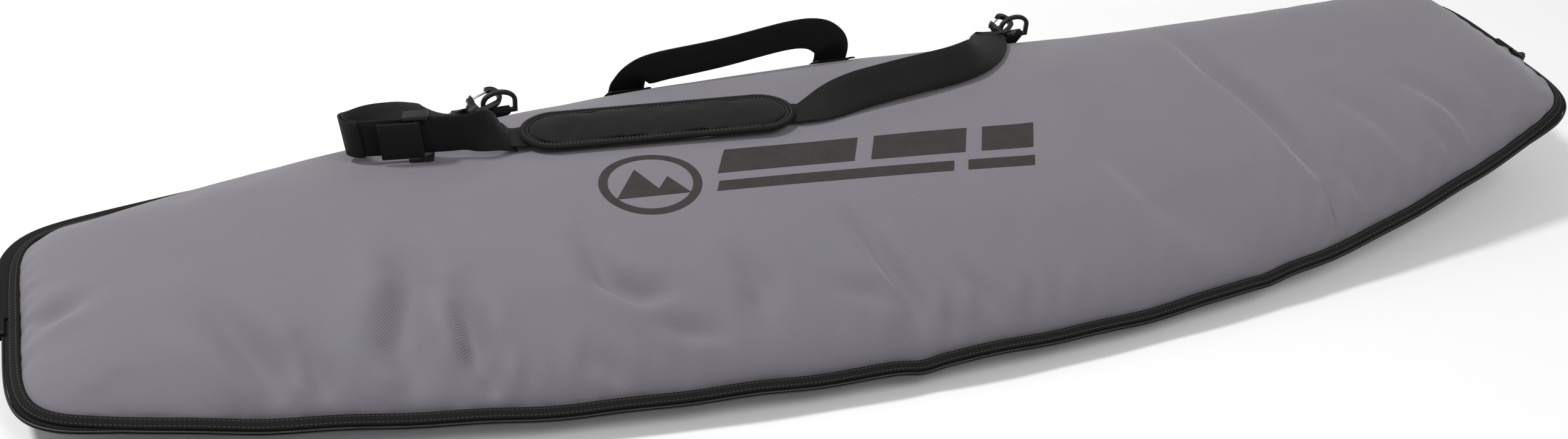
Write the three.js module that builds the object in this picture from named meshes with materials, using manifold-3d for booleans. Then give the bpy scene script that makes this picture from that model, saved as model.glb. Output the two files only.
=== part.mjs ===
// A padded snowboard bag that lies on its bottom panel, closed, with its shoulder strap laid on top.
// +X runs along the bag to the end that curls up more, +Y to the folded spine, +Z up.
// The origin is on the floor, under the middle of the bag. Lengths are in millimetres.
import * as THREE from "three";
import { mergeVertices } from "three/addons/utils/BufferGeometryUtils.js";
import Module from "manifold-3d";

const wasm = await Module();
wasm.setup();

// Driving dimensions of the bag
const HALF_LENGTH = 750; // middle to the panel's edge, along X
const HALF_WIDTH_MID = 226;
const HALF_WIDTH_END = 116;
const CORNER_SHARPNESS = 60; // how square the ends are
const CORNER_ROUNDNESS = 5; // power of the corner's curve
const SEAM_HEIGHT = 22; // floor to the seam between the two panels
const FLAT_PART = 0.25; // share of the half length that lies flat on the floor
const CURL_LEFT = 13; // how far each end lifts
const CURL_RIGHT = 87;
const CURL_POWER = 2.2;
const DOME = 86; // top panel above the seam
const DOME_LEAN = 0.21; // the dome is fuller towards +X
const DOME_TAPER = -0.28;
const DOME_END_DROP = 0.35;
const DOME_END_POWER = 6;
const DOME_RING_POWER = 2.5; // how square the dome's shoulders are
const DOME_CROWN_POWER = 2.1;
const MEDIAL = 600; // half length of the line that the outline's rings shrink to
const PAN_RADIUS = 0.86; // share of the bottom panel that is its flat pan

// Layers of a panel
const CLEARANCE = 0.3; // between parts that touch
const LAYER_GAP = 0.6; // between the layers of a panel
const SEAM_GAP = 0.4; // each panel's edge to the seam plane
const SHELL = 1.6;
const FOAM = 7;
const LINING = 1.1;

// Lengths that the foam and the bottom fabric are laid in, each from one X to another
const LENGTHS = { tail: [-760, -600], rear: [-600, -335], middle: [-335, 335], nose: [335, 760] };

// Rim: binding, zip and spine, as distances out of the panel's edge
const BINDING_WIDTH = 10;
const BINDING_LOW = 2.6;
const BINDING_HIGH = 8.8;
const TAPE = { inner: 2, outer: 10.5, low: 0.6, high: 1.8 };
const COIL = { inner: 10.8, outer: 13.2, low: 0.25, high: 2 };
const SPINE_WIDTH = 20;
const SPINE_THICKNESS = 2.6;
const END_TAB = { inner: 10.5, outer: 22.4, near: -10, far: 14, low: 2.4, high: 3.6 };

// Webbing and hardware
const WEBBING = 38;
const WEBBING_THICKNESS = 1.8;
const TAB_WEBBING = 25;
const TAB_LIFT = { under: 2.6, over: 6, hem: 5.2 }; // a ring tab's two plies above the top panel
const RING = { width: 36, height: 26, wire: 4.5 };
const RING_ARCH = 11; // height of the ring's round top
const RING_BARS = [new THREE.Vector3(-312, 188, 65.6), new THREE.Vector3(258, 194, 79.8)];
const RING_LINE = RING_BARS[1].clone().sub(RING_BARS[0]).normalize();
const CLIP_AXES = [new THREE.Vector3(0.9, 0.37, 0.12), new THREE.Vector3(0.75, 0.62, 0)];
const HOOK = { inner: 6.5, outer: 11, thickness: 5, from: -4, to: 10, middle: 1.5, mouth: 4.4 };
const GATE = { from: -6.6, to: 9.1, across: 8.4, radius: 1.1 };
const BARREL = { from: -16.6, to: -9, radius: 4.6, bore: 1.9 };
const LOOP = { bar: -27, front: -18.6, radius: 1.9, thickness: 3, pin: 1.5, halfWidth: 23 };
const WRAP_RADIUS = LOOP.radius + 0.4 + WEBBING_THICKNESS / 2;
const PLY_GAP = 3; // centre to centre of two plies of webbing
const PAD = { length: 260, width: 70, edge: 3, thickness: 9, edgeThickness: 5 };
const PAD_ENDS = [[-315, 91.5], [-59, 52.3]];
const STRAP_LIFT = 3.6; // webbing's middle above the top panel, under the pad

const COLOURS = {
  fabric: [0x7b7982, 0.8, 0],
  foam: [0x2b2d30, 0.95, 0],
  lining: [0x202124, 0.7, 0],
  binding: [0x141414, 0.75, 0],
  webbing: [0x17181a, 0.7, 0],
  pad: [0x1d1d1e, 0.9, 0],
  plastic: [0x101011, 0.45, 0],
  wire: [0xc8c8c8, 0.3, 1],
  coil: [0x0c0c0d, 0.5, 0],
};

const bag = new THREE.Group();

function addPart(name, geometry, colour, holder = bag) {
  const [hex, roughness, metalness] = COLOURS[colour];
  const material = new THREE.MeshStandardMaterial({ color: hex, roughness, metalness });
  const mesh = new THREE.Mesh(geometry, material);
  mesh.name = name;
  holder.add(mesh);
  return mesh;
}

// ---- Surfaces of the bag ----

const shareAlong = (x) => Math.min(Math.abs(x) / HALF_LENGTH, 1);

function curl(x) {
  const share = Math.max(shareAlong(x) - FLAT_PART, 0) / (1 - FLAT_PART);
  return (x < 0 ? CURL_LEFT : CURL_RIGHT) * share ** CURL_POWER;
}

// Half width of the outline that is moved in (or out, when inset is negative)
function halfWidth(x, inset = 0) {
  const share = Math.min(Math.abs(x) / (HALF_LENGTH - inset), 1);
  const side = HALF_WIDTH_MID - (HALF_WIDTH_MID - HALF_WIDTH_END) * share ** 2 - inset;
  return side * Math.max(1 - share ** CORNER_SHARPNESS, 0) ** (1 / CORNER_ROUNDNESS);
}

// Rings shrink the outline towards a line along the bag's middle: 1 at the edge, 0 on the line
function ringOf(x, y) {
  const excess = Math.abs(x) - MEDIAL;
  if (excess <= 0) return Math.min(Math.abs(y) / halfWidth(x), 1);
  let [low, high] = [0, 1];
  for (let i = 0; i < 24; i++) {
    const ring = (low + high) / 2;
    const reach = MEDIAL + excess / ring;
    const inside = reach < HALF_LENGTH && Math.abs(y) / ring < halfWidth(reach);
    if (inside) high = ring;
    else low = ring;
  }
  return high;
}

function topHeight(x, y, inset = 0, ring = ringOf(x, y)) {
  const s = x / HALF_LENGTH;
  const full = DOME * (1 + DOME_LEAN * s + DOME_TAPER * s * s) - inset;
  const ends = 1 - DOME_END_DROP * Math.abs(s) ** DOME_END_POWER;
  const crown = Math.max(1 - ring ** DOME_RING_POWER, 0) ** (1 / DOME_CROWN_POWER);
  return SEAM_HEIGHT + SEAM_GAP + curl(x) + full * ends * crown;
}

// A point over the top panel, lifted along the panel's own normal
function overTop(x, y, lift) {
  const step = 0.5;
  const slopeX = (topHeight(x + step, y) - topHeight(x - step, y)) / (2 * step);
  const slopeY = (topHeight(x, y + step) - topHeight(x, y - step)) / (2 * step);
  const normal = new THREE.Vector3(-slopeX, -slopeY, 1).normalize();
  return { point: new THREE.Vector3(x, y, topHeight(x, y)).addScaledVector(normal, lift), normal };
}

// ---- The outline as a loop: along the near side (-Y), then back along the spine side ----

const SIDE_SHARES = [0, 0.125, 0.25, 0.4, 0.55, 0.7, 0.83, 0.93];
const CORNER_SHARES = [0.97, 0.9, 0.72, 0.4];

// Stations of one side, from the left end's middle to the right end's middle, y as a share
function sideStations(startShare = 0) {
  const corner = CORNER_SHARES.filter((across) => across > startShare);
  const right = [
    ...SIDE_SHARES.map((along) => ({ along, across: null })),
    ...corner.map((across) => ({ along: null, across })),
    { along: null, across: startShare },
  ];
  const left = right.slice(1).reverse().map((station) => ({ ...station, mirrored: true }));
  return [...left, ...right];
}

function outlinePoint(station, side, outset) {
  const length = HALF_LENGTH + outset;
  const sign = station.mirrored ? -1 : 1;
  if (station.along !== null) {
    const x = sign * station.along * length;
    return { x, y: side * halfWidth(x, -outset), base: sign * station.along * HALF_LENGTH };
  }
  const along = (1 - station.across ** CORNER_ROUNDNESS) ** (1 / CORNER_SHARPNESS);
  const x = sign * along * length;
  const plain = HALF_WIDTH_MID - (HALF_WIDTH_MID - HALF_WIDTH_END) * along ** 2 + outset;
  return { x, y: side * plain * station.across, base: sign * along * HALF_LENGTH };
}

function loopPoints(outset) {
  const near = sideStations().map((station) => outlinePoint(station, -1, outset));
  const far = sideStations().slice(1, -1).reverse().map((s) => outlinePoint(s, 1, outset));
  return [...near, ...far];
}

// ---- Mesh building ----

// Rows of points joined to a closed skin. Rows wrap round; caps close the ends unless it is a loop.
function skinOf(rows, isLoop) {
  const count = rows[0].length;
  const positions = rows.flat().flatMap((p) => [p.x, p.y, p.z]);
  const index = [];
  const last = isLoop ? rows.length : rows.length - 1;
  for (let row = 0; row < last; row++) {
    const next = (row + 1) % rows.length;
    for (let k = 0; k < count; k++) {
      const after = (k + 1) % count;
      const [a, b] = [row * count + k, row * count + after];
      const [c, d] = [next * count + k, next * count + after];
      index.push(a, b, c, b, d, c);
    }
  }
  if (!isLoop) {
    const end = (rows.length - 1) * count;
    for (let k = 1; k < count - 1; k++) {
      index.push(0, k + 1, k, end, end + k, end + k + 1);
    }
  }
  return closed(positions, index);
}

// Merges equal points, drops flat triangles and turns the skin the right way out
function closed(positions, index) {
  let geometry = new THREE.BufferGeometry();
  geometry.setAttribute("position", new THREE.Float32BufferAttribute(positions, 3));
  geometry.setIndex(index);
  geometry = mergeVertices(geometry, 1e-3);
  const old = geometry.getIndex().array;
  const kept = [];
  for (let i = 0; i < old.length; i += 3) {
    const [a, b, c] = [old[i], old[i + 1], old[i + 2]];
    if (a !== b && b !== c && a !== c) kept.push(a, b, c);
  }
  if (signedVolume(geometry, kept) < 0) {
    for (let i = 0; i < kept.length; i += 3) [kept[i], kept[i + 1]] = [kept[i + 1], kept[i]];
  }
  geometry.setIndex(kept);
  return geometry;
}

function signedVolume(geometry, index) {
  const position = geometry.getAttribute("position");
  const [a, b, c] = [new THREE.Vector3(), new THREE.Vector3(), new THREE.Vector3()];
  let volume = 0;
  for (let i = 0; i < index.length; i += 3) {
    a.fromBufferAttribute(position, index[i]);
    b.fromBufferAttribute(position, index[i + 1]);
    c.fromBufferAttribute(position, index[i + 2]);
    volume += a.dot(b.cross(c)) / 6;
  }
  return volume;
}

function toSolid(geometry) {
  const plain = geometry.clone();
  plain.deleteAttribute("normal");
  plain.deleteAttribute("uv");
  const merged = mergeVertices(plain, 1e-4);
  return new wasm.Manifold(
    new wasm.Mesh({
      numProp: 3,
      vertProperties: new Float32Array(merged.getAttribute("position").array),
      triVerts: new Uint32Array(merged.getIndex().array),
    }),
  );
}

function fromSolid(solid) {
  const mesh = solid.getMesh();
  const geometry = new THREE.BufferGeometry();
  geometry.setAttribute("position", new THREE.Float32BufferAttribute(mesh.vertProperties, 3));
  geometry.setIndex(Array.from(mesh.triVerts));
  return geometry;
}

const joined = (...pieces) => fromSolid(pieces.map(toSolid).reduce((a, b) => a.add(b)));

const cut = (body, ...tools) =>
  fromSolid(tools.map(toSolid).reduce((a, b) => a.subtract(b), toSolid(body)));

function boxFrom(low, high) {
  const size = high.map((value, i) => value - low[i]);
  const box = new THREE.BoxGeometry(...size);
  box.translate(...low.map((value, i) => value + size[i] / 2));
  return box;
}

// A flat outline made as thick as depth, from the height low
function slabOf(shape, depth, low, curveSegments) {
  const slab = new THREE.ExtrudeGeometry(shape, { depth, bevelEnabled: false, curveSegments });
  slab.translate(0, 0, low);
  return slab;
}

// A round bar between two points
function bar(from, to, radius, sides = 10) {
  const start = new THREE.Vector3(...from);
  const along = new THREE.Vector3(...to).sub(start);
  const rod = new THREE.CylinderGeometry(radius, radius, along.length(), sides);
  const turn = new THREE.Quaternion().setFromUnitVectors(
    new THREE.Vector3(0, 1, 0), along.clone().normalize());
  rod.applyQuaternion(turn);
  rod.translate(...start.addScaledVector(along, 0.5).toArray());
  return rod;
}

// ---- Panels: shell, foam and lining of each half, as nested dishes ----

const RINGS = [1, 0.96, PAN_RADIUS, 0.6, 0];

function panelSurface(inset, heightOf) {
  return RINGS.map((ring) =>
    loopPoints(-inset).map(({ x, y }) => {
      const middle = THREE.MathUtils.clamp(x, -MEDIAL, MEDIAL);
      const px = middle + (x - middle) * ring;
      return new THREE.Vector3(px, y * ring, heightOf(px, y * ring, inset, ring));
    }),
  );
}

function dish(outerInset, thickness, heightOf) {
  const outer = panelSurface(outerInset, heightOf);
  const inner = panelSurface(outerInset + thickness, heightOf);
  // A row runs from the outer skin's medial line over the rim to the inner skin's
  const rows = outer[0].map((_, k) => [
    ...outer.map((ring) => ring[k]).reverse(),
    ...inner.map((ring) => ring[k]),
  ]);
  const size = rows[0].length;
  const positions = rows.flat().flatMap((p) => [p.x, p.y, p.z]);
  const index = [];
  for (let k = 0; k < rows.length; k++) {
    const next = (k + 1) % rows.length;
    for (let j = 0; j < size - 1; j++) {
      const [a, b, c, d] = [k * size + j, k * size + j + 1, next * size + j, next * size + j + 1];
      // Both skins are split along the same diagonals, so that layers nest without touching
      if (j < RINGS.length) index.push(a, b, c, b, d, c);
      else index.push(a, b, d, a, d, c);
    }
  }
  return closed(positions, index);
}

function bottomHeight(x, y, inset, ring) {
  const rim = SEAM_HEIGHT - SEAM_GAP - inset;
  const rise = ring >= 1 ? 1 : ring > PAN_RADIUS ? 0.3 : 0;
  return curl(x) + inset + rim * rise;
}

// The part of a panel's layer that lies between two places along the bag
function lengthOf(sheet, from, to) {
  const [half, reach] = [CLEARANCE / 2, 2 * HALF_WIDTH_MID];
  const slice = boxFrom([from + half, -reach, -reach], [to - half, reach, reach]);
  return fromSolid(toSolid(sheet).intersect(toSolid(slice)));
}

function addSheet(name, sheet, colour) {
  for (const [length, [from, to]] of Object.entries(LENGTHS)) {
    addPart(`${name}_${length}`, lengthOf(sheet, from, to), colour);
  }
}

const FOAM_INSET = SHELL + LAYER_GAP;
const LINING_INSET = FOAM_INSET + FOAM + LAYER_GAP;
addSheet("bottom_panel_shell", dish(0, SHELL, bottomHeight), "fabric");
addSheet("bottom_panel_foam", dish(FOAM_INSET, FOAM, bottomHeight), "foam");
addPart("bottom_panel_lining", dish(LINING_INSET, LINING, bottomHeight), "lining");
addPart("top_panel_shell", dish(0, SHELL, topHeight), "fabric");
addSheet("top_panel_foam", dish(FOAM_INSET, FOAM, topHeight), "foam");
addPart("top_panel_lining", dish(LINING_INSET, LINING, topHeight), "lining");

// ---- Rim: strips with one section, swept along the outline ----

const rimRows = (section, stations, side) =>
  stations.map((station) =>
    section.map(([outset, height]) => {
      const { x, y, base } = outlinePoint(station, side, outset);
      return new THREE.Vector3(x, y, SEAM_HEIGHT + curl(base) + height);
    }),
  );

const rimStrip = (section, stations, side) => skinOf(rimRows(section, stations, side), false);

function rimLoop(section) {
  const near = rimRows(section, sideStations(), -1);
  const far = rimRows(section, sideStations().slice(1, -1).reverse(), 1);
  return skinOf([...near, ...far], true);
}

const rectangle = ({ inner, outer, low, high }) => [
  [inner, low], [inner, high], [outer, high], [outer, low],
];
const upsideDown = (section) => section.map(([outset, height]) => [outset, -height]);

const bindingSection = [
  [CLEARANCE, BINDING_LOW], [CLEARANCE, BINDING_HIGH - 1], [3.5, BINDING_HIGH],
  [7.5, BINDING_HIGH - 1.4], [BINDING_WIDTH, BINDING_LOW + 1.6], [BINDING_WIDTH, BINDING_LOW],
];
addPart("top_rim_binding", rimLoop(bindingSection), "binding");
addPart("bottom_rim_binding", rimLoop(upsideDown(bindingSection)), "binding");

const ZIP_START = 0.1; // the zip and the spine stop short of the ends' middles
const zipStations = sideStations(ZIP_START);
const tape = rectangle(TAPE);
const coil = rectangle(COIL);
addPart("zipper_tape_upper", rimStrip(tape, zipStations, -1), "binding");
addPart("zipper_tape_lower", rimStrip(upsideDown(tape), zipStations, -1), "binding");
addPart("zipper_coil_upper", rimStrip(coil, zipStations, -1), "coil");
addPart("zipper_coil_lower", rimStrip(upsideDown(coil), zipStations, -1), "coil");

const spineHalf = SPINE_THICKNESS / 2;
const spineSection = [
  [CLEARANCE, -spineHalf], [CLEARANCE, spineHalf],
  [SPINE_WIDTH - 3, spineHalf], [SPINE_WIDTH, spineHalf / 2],
  [SPINE_WIDTH, -spineHalf / 2], [SPINE_WIDTH - 3, -spineHalf],
];
addPart("spine_gusset", rimStrip(spineSection, zipStations, 1), "binding");

// A folded tab over each end of the zip
for (const [name, sign] of [["left", -1], ["right", 1]]) {
  const { inner, outer, near, far, low, high } = END_TAB;
  const fold = 1.4;
  const tab = joined(
    boxFrom([inner, near, low], [outer, far, high]),
    boxFrom([inner, near, -high], [outer, far, -low]),
    boxFrom([outer - fold, near, -high], [outer, far, high]),
  );
  if (sign < 0) tab.scale(-1, 1, 1);
  const end = new THREE.Group();
  end.position.set(sign * HALF_LENGTH, 0, SEAM_HEIGHT + curl(sign * HALF_LENGTH));
  const corners = Array.from(tab.getAttribute("position").array);
  addPart(`zip_end_tab_${name}`, closed(corners, Array.from(tab.getIndex().array)), "binding", end);
  bag.add(end);
}

// ---- Zip slider and its pull, parked at the right end ----

const SLIDER = { inner: 10.6, wall: 13.8, outer: 17.6, near: -30, far: -13, low: -5, high: 4.4 };
const sliderGroup = new THREE.Group();
sliderGroup.position.set(HALF_LENGTH, 0, SEAM_HEIGHT + CURL_RIGHT);
bag.add(sliderGroup);
const bail = { x: SLIDER.outer + 3.8, y: (SLIDER.near + SLIDER.far) / 2, z: 1.5, radius: 1 };
addPart("zip_slider", joined(
  boxFrom([SLIDER.wall, SLIDER.near, SLIDER.low], [SLIDER.outer, SLIDER.far, SLIDER.high]),
  boxFrom([SLIDER.inner, SLIDER.near, SLIDER.low], [SLIDER.outer, SLIDER.far, SLIDER.low + 1.8]),
  boxFrom([SLIDER.outer - 1, bail.y - 4.5, bail.z - 1.2], [bail.x + 1.2, bail.y - 3, bail.z + 1.2]),
  boxFrom([SLIDER.outer - 1, bail.y + 3, bail.z - 1.2], [bail.x + 1.2, bail.y + 4.5, bail.z + 1.2]),
  bar([bail.x, bail.y - 3.5, bail.z], [bail.x, bail.y + 3.5, bail.z], bail.radius, 8),
), "plastic", sliderGroup);

const PULL_LENGTH = 34;
addPart("zip_pull", joined(
  boxFrom([bail.x - 1, bail.y - 2.4, bail.z - PULL_LENGTH], [bail.x + 1, bail.y + 2.4, bail.z - 2.6]),
  boxFrom([bail.x - 2.4, bail.y - 2.4, bail.z - 2.6], [bail.x - 1.4, bail.y + 2.4, bail.z + 2.4]),
  boxFrom([bail.x + 1.4, bail.y - 2.4, bail.z - 2.6], [bail.x + 2.4, bail.y + 2.4, bail.z + 2.4]),
  boxFrom([bail.x - 2.4, bail.y - 2.4, bail.z + 1.4], [bail.x + 2.4, bail.y + 2.4, bail.z + 2.4]),
  boxFrom([bail.x - 2.4, bail.y - 2.4, bail.z - 3.6], [bail.x + 2.4, bail.y + 2.4, bail.z - 2.2]),
), "plastic", sliderGroup);

// ---- Ribbons: webbing swept along hand-laid stations, each with its width direction ----

const PER_SPAN = 2; // rows of the mesh between two stations
const v3 = (x, y, z) => new THREE.Vector3(x, y, z);

// Smooth rows between the stations; the width is kept square to the path
function ribbonFrames(stations, perSpan) {
  const smooth = (points) => new THREE.CatmullRomCurve3(points, false, "catmullrom", 0.5);
  const centres = smooth(stations.map((s) => s.point));
  const widths = smooth(stations.map((s) => s.width));
  const count = (stations.length - 1) * perSpan;
  const step = 1e-3;
  return Array.from({ length: count + 1 }, (_, i) => {
    const u = i / count;
    const ahead = centres.getPoint(Math.min(u + step, 1));
    const tangent = ahead.sub(centres.getPoint(Math.max(u - step, 0))).normalize();
    const width = widths.getPoint(u);
    width.addScaledVector(tangent, -width.dot(tangent)).normalize();
    return { point: centres.getPoint(u), width, normal: tangent.clone().cross(width) };
  });
}

// A strip of webbing through the places as they are
function ribbonRows(places, width, thickness) {
  const rows = places.map((place, i) => {
    const before = places[Math.max(i - 1, 0)].point;
    const after = places[Math.min(i + 1, places.length - 1)].point;
    const tangent = after.clone().sub(before).normalize();
    const across = place.width.clone().addScaledVector(tangent, -place.width.dot(tangent)).normalize();
    const normal = tangent.clone().cross(across);
    return [[-1, -1], [-1, 1], [1, 1], [1, -1]].map(([side, face]) =>
      place.point.clone()
        .addScaledVector(across, (side * width) / 2)
        .addScaledVector(normal, (face * thickness) / 2),
    );
  });
  return skinOf(rows, false);
}

const ribbon = (stations, width, perSpan = PER_SPAN) =>
  ribbonRows(ribbonFrames(stations, perSpan), width, WEBBING_THICKNESS);

// ---- Ring tabs and rings on the far slope of the top panel ----

const SIDES = ["left", "right"];

// A turn of webbing round a bar: half a circle from one face to the other
function turnRound(centre, radius, from, towards, width, steps = 4) {
  return Array.from({ length: steps + 1 }, (_, i) => {
    const angle = (Math.PI * i) / steps;
    const point = centre.clone()
      .addScaledVector(from, radius * Math.cos(angle))
      .addScaledVector(towards, radius * Math.sin(angle));
    return { point, width };
  });
}

// A group at a point with its own x and z directions
function placed(origin, xAxis, zAxis) {
  const x = xAxis.clone().normalize();
  const z = zAxis.clone().addScaledVector(x, -zAxis.dot(x)).normalize();
  const y = z.clone().cross(x);
  const group = new THREE.Group();
  group.matrix.makeBasis(x, y, z).setPosition(origin);
  group.matrix.decompose(group.position, group.quaternion, group.scale);
  bag.add(group);
  return { group, x, y, z };
}

const hardware = SIDES.map((side, i) => {
  const barAt = RING_BARS[i];
  const { normal } = overTop(barAt.x, barAt.y, 0);
  const turn = RING.wire / 2 + 1.2 + WEBBING_THICKNESS / 2;
  const slope = RING_LINE.clone().cross(normal).normalize(); // up the far slope, to the crown
  if (slope.z < 0) slope.negate();
  const hemY = halfWidth(barAt.x) - 3;
  const layAt = (y, lift) => ({ point: overTop(barAt.x, y, lift).point, width: RING_LINE });
  const midY = (barAt.y + hemY) / 2;
  addPart(`ring_tab_${side}`, ribbon([
    layAt(hemY, TAB_LIFT.under), layAt(midY, TAB_LIFT.under),
    ...turnRound(barAt, turn, normal.clone().negate(), slope, RING_LINE),
    layAt(midY, TAB_LIFT.over), layAt(hemY, TAB_LIFT.hem),
  ], TAB_WEBBING, 1), "webbing");

  // The ring: a straight foot and a round arch, standing up
  const frame = placed(barAt, RING_LINE, v3(0, 0, 1));
  const wire = RING.wire / 2;
  const reach = RING.width / 2 - wire;
  const rise = RING.height - RING.wire;
  const ringShape = (grow) => {
    const shape = new THREE.Shape();
    const shoulder = rise - RING_ARCH;
    shape.moveTo(-reach - grow, -grow);
    shape.lineTo(reach + grow, -grow);
    shape.lineTo(reach + grow, shoulder);
    shape.absellipse(0, shoulder, reach + grow, RING_ARCH + grow, 0, Math.PI, false);
    return shape;
  };
  const ringSlab = (grow, depth) =>
    slabOf(ringShape(grow), depth, -depth / 2, 8).rotateX(Math.PI / 2);
  const ring = cut(ringSlab(wire, RING.wire - 0.6), ringSlab(-wire, 2 * RING.wire));
  addPart(`ring_${side}`, ring, "plastic", frame.group);

  // The snap hook goes round the ring's left side, lying along its own axis
  const crossing = barAt.clone().addScaledVector(frame.x, -reach).addScaledVector(frame.z, rise * 0.58);
  const axis = CLIP_AXES[i].clone().normalize();
  const hook = placed(crossing, axis, v3(-0.1, -0.5, 0.86));
  const hookHalf = HOOK.thickness / 2;
  const stadium = (radius, depth) => {
    const shape = new THREE.Shape();
    shape.absarc(HOOK.to, HOOK.middle, radius, -Math.PI / 2, Math.PI / 2, false);
    shape.absarc(HOOK.from, HOOK.middle, radius, Math.PI / 2, (3 * Math.PI) / 2, false);
    return slabOf(shape, depth, -depth / 2, 5);
  };
  const mouthEnd = HOOK.middle + HOOK.outer + 3;
  const mouth = boxFrom([GATE.from - 0.4, HOOK.mouth, -HOOK.thickness],
    [HOOK.to - 0.4, mouthEnd, HOOK.thickness]);
  const barrel = bar([BARREL.from, 0, 0], [BARREL.to, 0, 0], BARREL.radius, 12);
  const bore = bar([BARREL.from - 1, 0, 0], [BARREL.to - 4, 0, 0], BARREL.bore, 10);
  const post = boxFrom([GATE.from - 6.4, HOOK.mouth - 0.4, -hookHalf],
    [GATE.from - 0.6, GATE.across + 1.6, hookHalf]);
  const plate = cut(stadium(HOOK.outer, HOOK.thickness), mouth, stadium(HOOK.inner, 2 * HOOK.outer));
  addPart(`hook_${side}`, cut(joined(plate, barrel, post), bore), "plastic", hook.group);
  const gate = bar([GATE.from, GATE.across, 0], [GATE.to, GATE.across, 0], GATE.radius, 8);
  addPart(`hook_gate_${side}`, gate, "wire", hook.group);

  // The strap loop turns on a pin in the hook's barrel and lies along the slope under it
  const barCentre = crossing.clone().addScaledVector(axis, LOOP.bar);
  const slopeNormal = overTop(barCentre.x, barCentre.y, 0).normal;
  const loop = placed(crossing, axis, slopeNormal);
  const [w, t] = [LOOP.halfWidth, LOOP.thickness / 2];
  const cheek = (y) => boxFrom([LOOP.bar - t, y - t, -t], [LOOP.front + t, y + t, t]);
  addPart(`strap_loop_${side}`, joined(
    bar([LOOP.bar, -w, 0], [LOOP.bar, w, 0], LOOP.radius, 10),
    boxFrom([LOOP.front - t, -w, -t], [LOOP.front + t, w, t]),
    cheek(-w), cheek(w),
    bar([LOOP.front, 0, 0], [BARREL.to - 4.6, 0, 0], LOOP.pin, 8),
  ), "plastic", loop.group);
  return { barCentre, axis, loopWidth: loop.y, loopNormal: loop.z };
});

// ---- Shoulder strap: one length of webbing, from the left loop to the right loop ----

const [leftClip, rightClip] = hardware;
const padStart = overTop(...PAD_ENDS[0], STRAP_LIFT).point;
const padEnd = overTop(...PAD_ENDS[1], STRAP_LIFT).point;
const padLine = padEnd.clone().sub(padStart).normalize();
const flatWidth = v3(0.15, 0.985, -0.07);
const alongPad = (distance) => padStart.clone().addScaledVector(padLine, distance);

// The straight stretch that the adjuster slides along
const ADJUSTER_RUN = { from: v3(-446, 98.4, 110), to: v3(-366, 77, 118) };
const runLine = ADJUSTER_RUN.to.clone().sub(ADJUSTER_RUN.from).normalize();
const alongRun = (distance) => ADJUSTER_RUN.from.clone().addScaledVector(runLine, distance);
const runLength = ADJUSTER_RUN.to.distanceTo(ADJUSTER_RUN.from);
const upright = v3(0, 0, 1).addScaledVector(runLine, -runLine.z).normalize();

const fromLoop = (clip, along, lift) =>
  clip.barCentre.clone().addScaledVector(clip.axis, along).addScaledVector(clip.loopNormal, lift);
const station = (point, width) => ({ point, width: width.clone() });

const leftWidth = leftClip.loopWidth; // towards the spine and down the slope
const mainStations = [
  station(fromLoop(leftClip, 0, WRAP_RADIUS), leftWidth),
  station(fromLoop(leftClip, -12, WRAP_RADIUS + 1), leftWidth),
  station(v3(-384, 167, 88), v3(0.05, 0.95, -0.25)),
  station(v3(-410, 163, 93), v3(0, 1, 0.05)),
  station(v3(-434, 153, 93), v3(-0.1, 0.85, 0.5)),
  station(v3(-455, 138, 96), v3(-0.3, 0.5, 0.8)),
  station(v3(-467, 120, 104), v3(-0.15, 0.15, 0.98)),
  station(v3(-461, 105, 108), upright),
  station(alongRun(0), upright),
  station(alongRun(runLength / 2), upright),
  station(alongRun(runLength - 16), upright),
  station(alongRun(runLength), upright),
  station(v3(-351, 79.5, 116), v3(0.05, 0.45, 0.89)),
  station(v3(-338, 86.5, 109), v3(0.12, 0.85, 0.5)),
  station(alongPad(-10), flatWidth),
  station(alongPad(8), flatWidth),
  station(alongPad(PAD.length / 2), flatWidth),
  station(alongPad(PAD.length - 8), flatWidth),
  station(alongPad(PAD.length + 10), flatWidth),
  station(v3(-22, 51.5, 118), v3(0.1, 0.88, 0.47)),
  station(v3(10, 54.5, 125), v3(0, 0.72, 0.7)),
  station(v3(73, 64.5, 127.5), v3(-0.1, 0.7, 0.7)),
  station(v3(117, 72.5, 127.5), v3(-0.15, 0.62, 0.76)),
  station(v3(150, 86, 126), v3(-0.3, 0.65, 0.65)),
  station(v3(180, 115, 115), v3(-0.65, 0.65, 0.3)),
  station(v3(201, 146, 105), v3(-0.75, 0.62, 0.05)),
  station(fromLoop(rightClip, -12, WRAP_RADIUS + 1), rightClip.loopWidth),
  station(fromLoop(rightClip, 0, WRAP_RADIUS), rightClip.loopWidth),
];

const frames = ribbonFrames(mainStations, PER_SPAN);
const RETURN_STATIONS = 7; // the inner ply runs back to just short of the adjuster
const SEWN_STATIONS = 2; // the right end is sewn back on itself

// The second ply, on the face away from the loop's top, wider apart close to the loop's bar
function plyBehind(frame, side, stepsFromBar) {
  const near = Math.max(1 - stepsFromBar / 3, 0);
  const gap = PLY_GAP + (2 * WRAP_RADIUS - PLY_GAP) * near;
  return { point: frame.point.clone().addScaledVector(frame.normal, side * gap), width: frame.width };
}

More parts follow.
